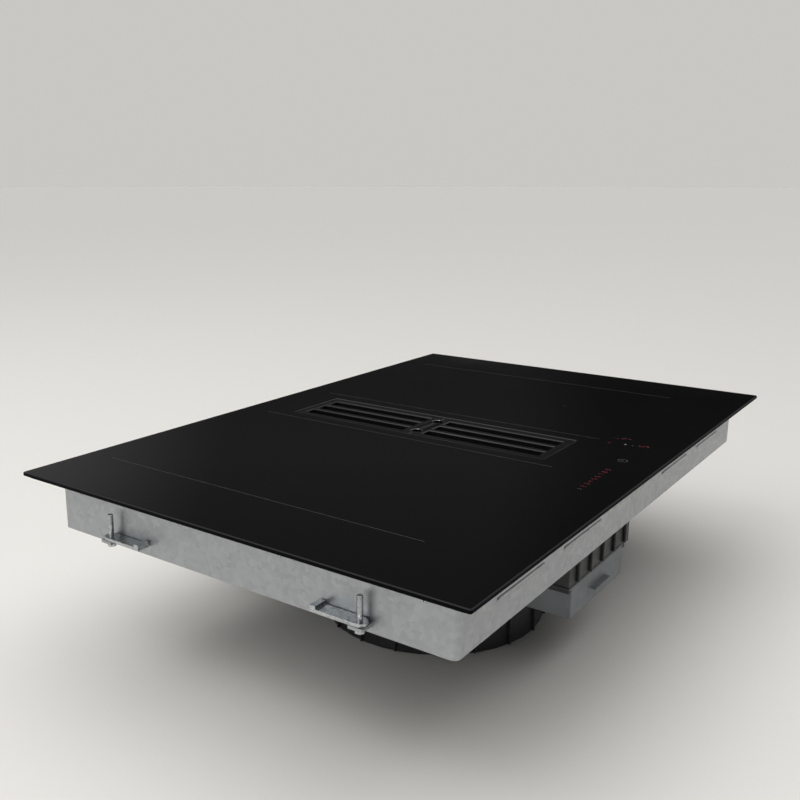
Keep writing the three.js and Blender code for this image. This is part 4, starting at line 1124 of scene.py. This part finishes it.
class COOKTOP_OT_stage(bpy.types.Operator):
    """Floor, light and camera"""

    bl_idname = "cooktop.stage"
    bl_label = "Stage"

    def execute(self, context):
        scene = context.scene
        look = scene.cooktop_stage
        shape = bmesh.new()
        bmesh.ops.create_circle(shape, cap_ends=True, radius=look.floor_radius, segments=96)
        floor = placed_object("floor", shape)
        # Matt emulsion on the studio floor: pale and even
        floor.data.materials.append(clouded("Matt floor paint", look.floor_colour, 0.9,
                                            rough=(60, 2, 0.85, 0.95), Specular_IOR_Level=0.2))
        self.surroundings(scene, look)
        self.key_light(scene)
        self.camera(scene, look)
        return {"FINISHED"}

    @staticmethod
    def surroundings(scene, look):
        """A pale horizon, a dim band above it for the glass to mirror, and a bright ceiling."""
        world = bpy.data.worlds.new("studio")
        scene.world = world
        world.use_nodes = True
        tree = world.node_tree
        back = tree.nodes["Background"]
        place = add_node(tree, "ShaderNodeTexCoord").outputs["Generated"]
        axes = add_node(tree, "ShaderNodeSeparateXYZ", {"Vector": place})
        height, depth = axes.outputs["Z"], axes.outputs["Y"]

        def ramp(value, low, high, start, end):
            """Goes smoothly from `start` to `end` as the value goes from `low` to `high`."""
            values = {"Value": value, "From Min": low, "From Max": high, "To Min": start, "To Max": end}
            return add_node(tree, "ShaderNodeMapRange", values,
                            interpolation_type="SMOOTHSTEP").outputs["Result"]

        def maths(operation, first, second):
            return add_node(tree, "ShaderNodeMath", {0: first, 1: second},
                            operation=operation).outputs["Value"]

        # Heights are sines of the angle above the horizon, and depths grow towards the rear
        horizon = ramp(height, 0.168, 0.186, 1.0, 0.0)
        ceiling = ramp(height, 0.6, 0.88, 0.0, 1.75)
        dim = maths("ADD", ramp(depth, 0.32, 0.45, 0.018, 0.045), ramp(depth, 0.66, 0.85, 0.0, 0.17))
        dim = maths("MULTIPLY", dim, ramp(height, 0.2, 0.31, 0.6, 1.05))
        softbox_aim = (0.83, -0.27, 0.49)
        aim = add_node(tree, "ShaderNodeVectorMath", {0: place, 1: softbox_aim},
                       operation="DOT_PRODUCT").outputs["Value"]
        softbox = ramp(aim, 0.91, 0.98, 0.0, 0.9)
        # The horizon is as bright as the floor below it
        values = {"Factor": horizon, "A": dim, "B": 0.854}
        low_part = add_node(tree, "ShaderNodeMix", values).outputs["Result"]
        tree.links.new(maths("ADD", low_part, maths("ADD", ceiling, softbox)), back.inputs["Strength"])
        # The horizon has the floor's colour, and the rest is white
        values = {"Factor": horizon, "A": (1, 1, 1, 1), "B": (*look.floor_colour, 1)}
        tint = add_node(tree, "ShaderNodeMix", values, data_type="RGBA").outputs["Result"]
        tree.links.new(tint, back.inputs["Color"])

    @staticmethod
    def key_light(scene):
        """One soft lamp, 2.6 metres square, to the left of the part and above it."""
        lamp = bpy.data.lights.new("soft_key", "AREA")
        lamp.shape = "SQUARE"
        lamp.size = 2.6
        lamp.energy = 55
        key = bpy.data.objects.new("soft_key", lamp)
        key.location = (-2.3, 0.9, 2.4)
        aim = Vector((0, 0, 0.1)) - key.location
        key.rotation_euler = aim.to_track_quat("-Z", "Y").to_euler()
        scene.collection.objects.link(key)

    @staticmethod
    def camera(scene, look):
        """The camera of the photo, fitted to the corners of the plate, in metres."""
        lens = bpy.data.cameras.new("camera")
        lens.lens = look.lens
        lens.shift_x = 0.0625
        lens.clip_end = 100
        camera = bpy.data.objects.new("camera", lens)
        camera.location = (-0.9255, -0.5422, 0.5044)
        camera.rotation_euler = [math.radians(a) for a in (76.3, 0.0, -53.62)]
        scene.collection.objects.link(camera)
        scene.camera = camera
        scene.view_settings.view_transform = "Standard"


# ------------------------ panel and registration


OPERATORS = (
    COOKTOP_OT_glass, COOKTOP_OT_print, COOKTOP_OT_lit_marks, COOKTOP_OT_grille,
    COOKTOP_OT_filters, COOKTOP_OT_coils, COOKTOP_OT_electronics, COOKTOP_OT_casing,
    COOKTOP_OT_air_box, COOKTOP_OT_fan, COOKTOP_OT_mains, COOKTOP_OT_stage,
)
SETTINGS = {"cooktop_glass": GlassSettings, "cooktop_grille": GrilleSettings,
            "cooktop_casing": CasingSettings, "cooktop_stage": StageSettings}


class COOKTOP_PT_panel(bpy.types.Panel):
    """Buttons for each group of pieces, with the sizes and colours they use"""

    bl_idname = "COOKTOP_PT_panel"
    bl_label = "Cooktop"
    bl_space_type = "VIEW_3D"
    bl_region_type = "UI"
    bl_category = "Cooktop"

    def draw(self, context):
        for operator in OPERATORS:
            self.layout.operator(operator.bl_idname)
        for name, group in SETTINGS.items():
            box = self.layout.box()
            for field in group.__annotations__:
                box.prop(getattr(context.scene, name), field)


CLASSES = (*SETTINGS.values(), *OPERATORS, COOKTOP_PT_panel)


def register():
    for one in CLASSES:
        bpy.utils.register_class(one)
    for name, group in SETTINGS.items():
        setattr(bpy.types.Scene, name, bpy.props.PointerProperty(type=group))


def unregister():
    for name in SETTINGS:
        delattr(bpy.types.Scene, name)
    for one in reversed(CLASSES):
        bpy.utils.unregister_class(one)


def main():
    register()
    for operator in OPERATORS:
        group, name = operator.bl_idname.split(".")
        if getattr(getattr(bpy.ops, group), name)() != {"FINISHED"}:
            raise RuntimeError(f"{operator.bl_label} did not finish")
    bpy.context.view_layer.update()


if __name__ == "__main__":
    main()
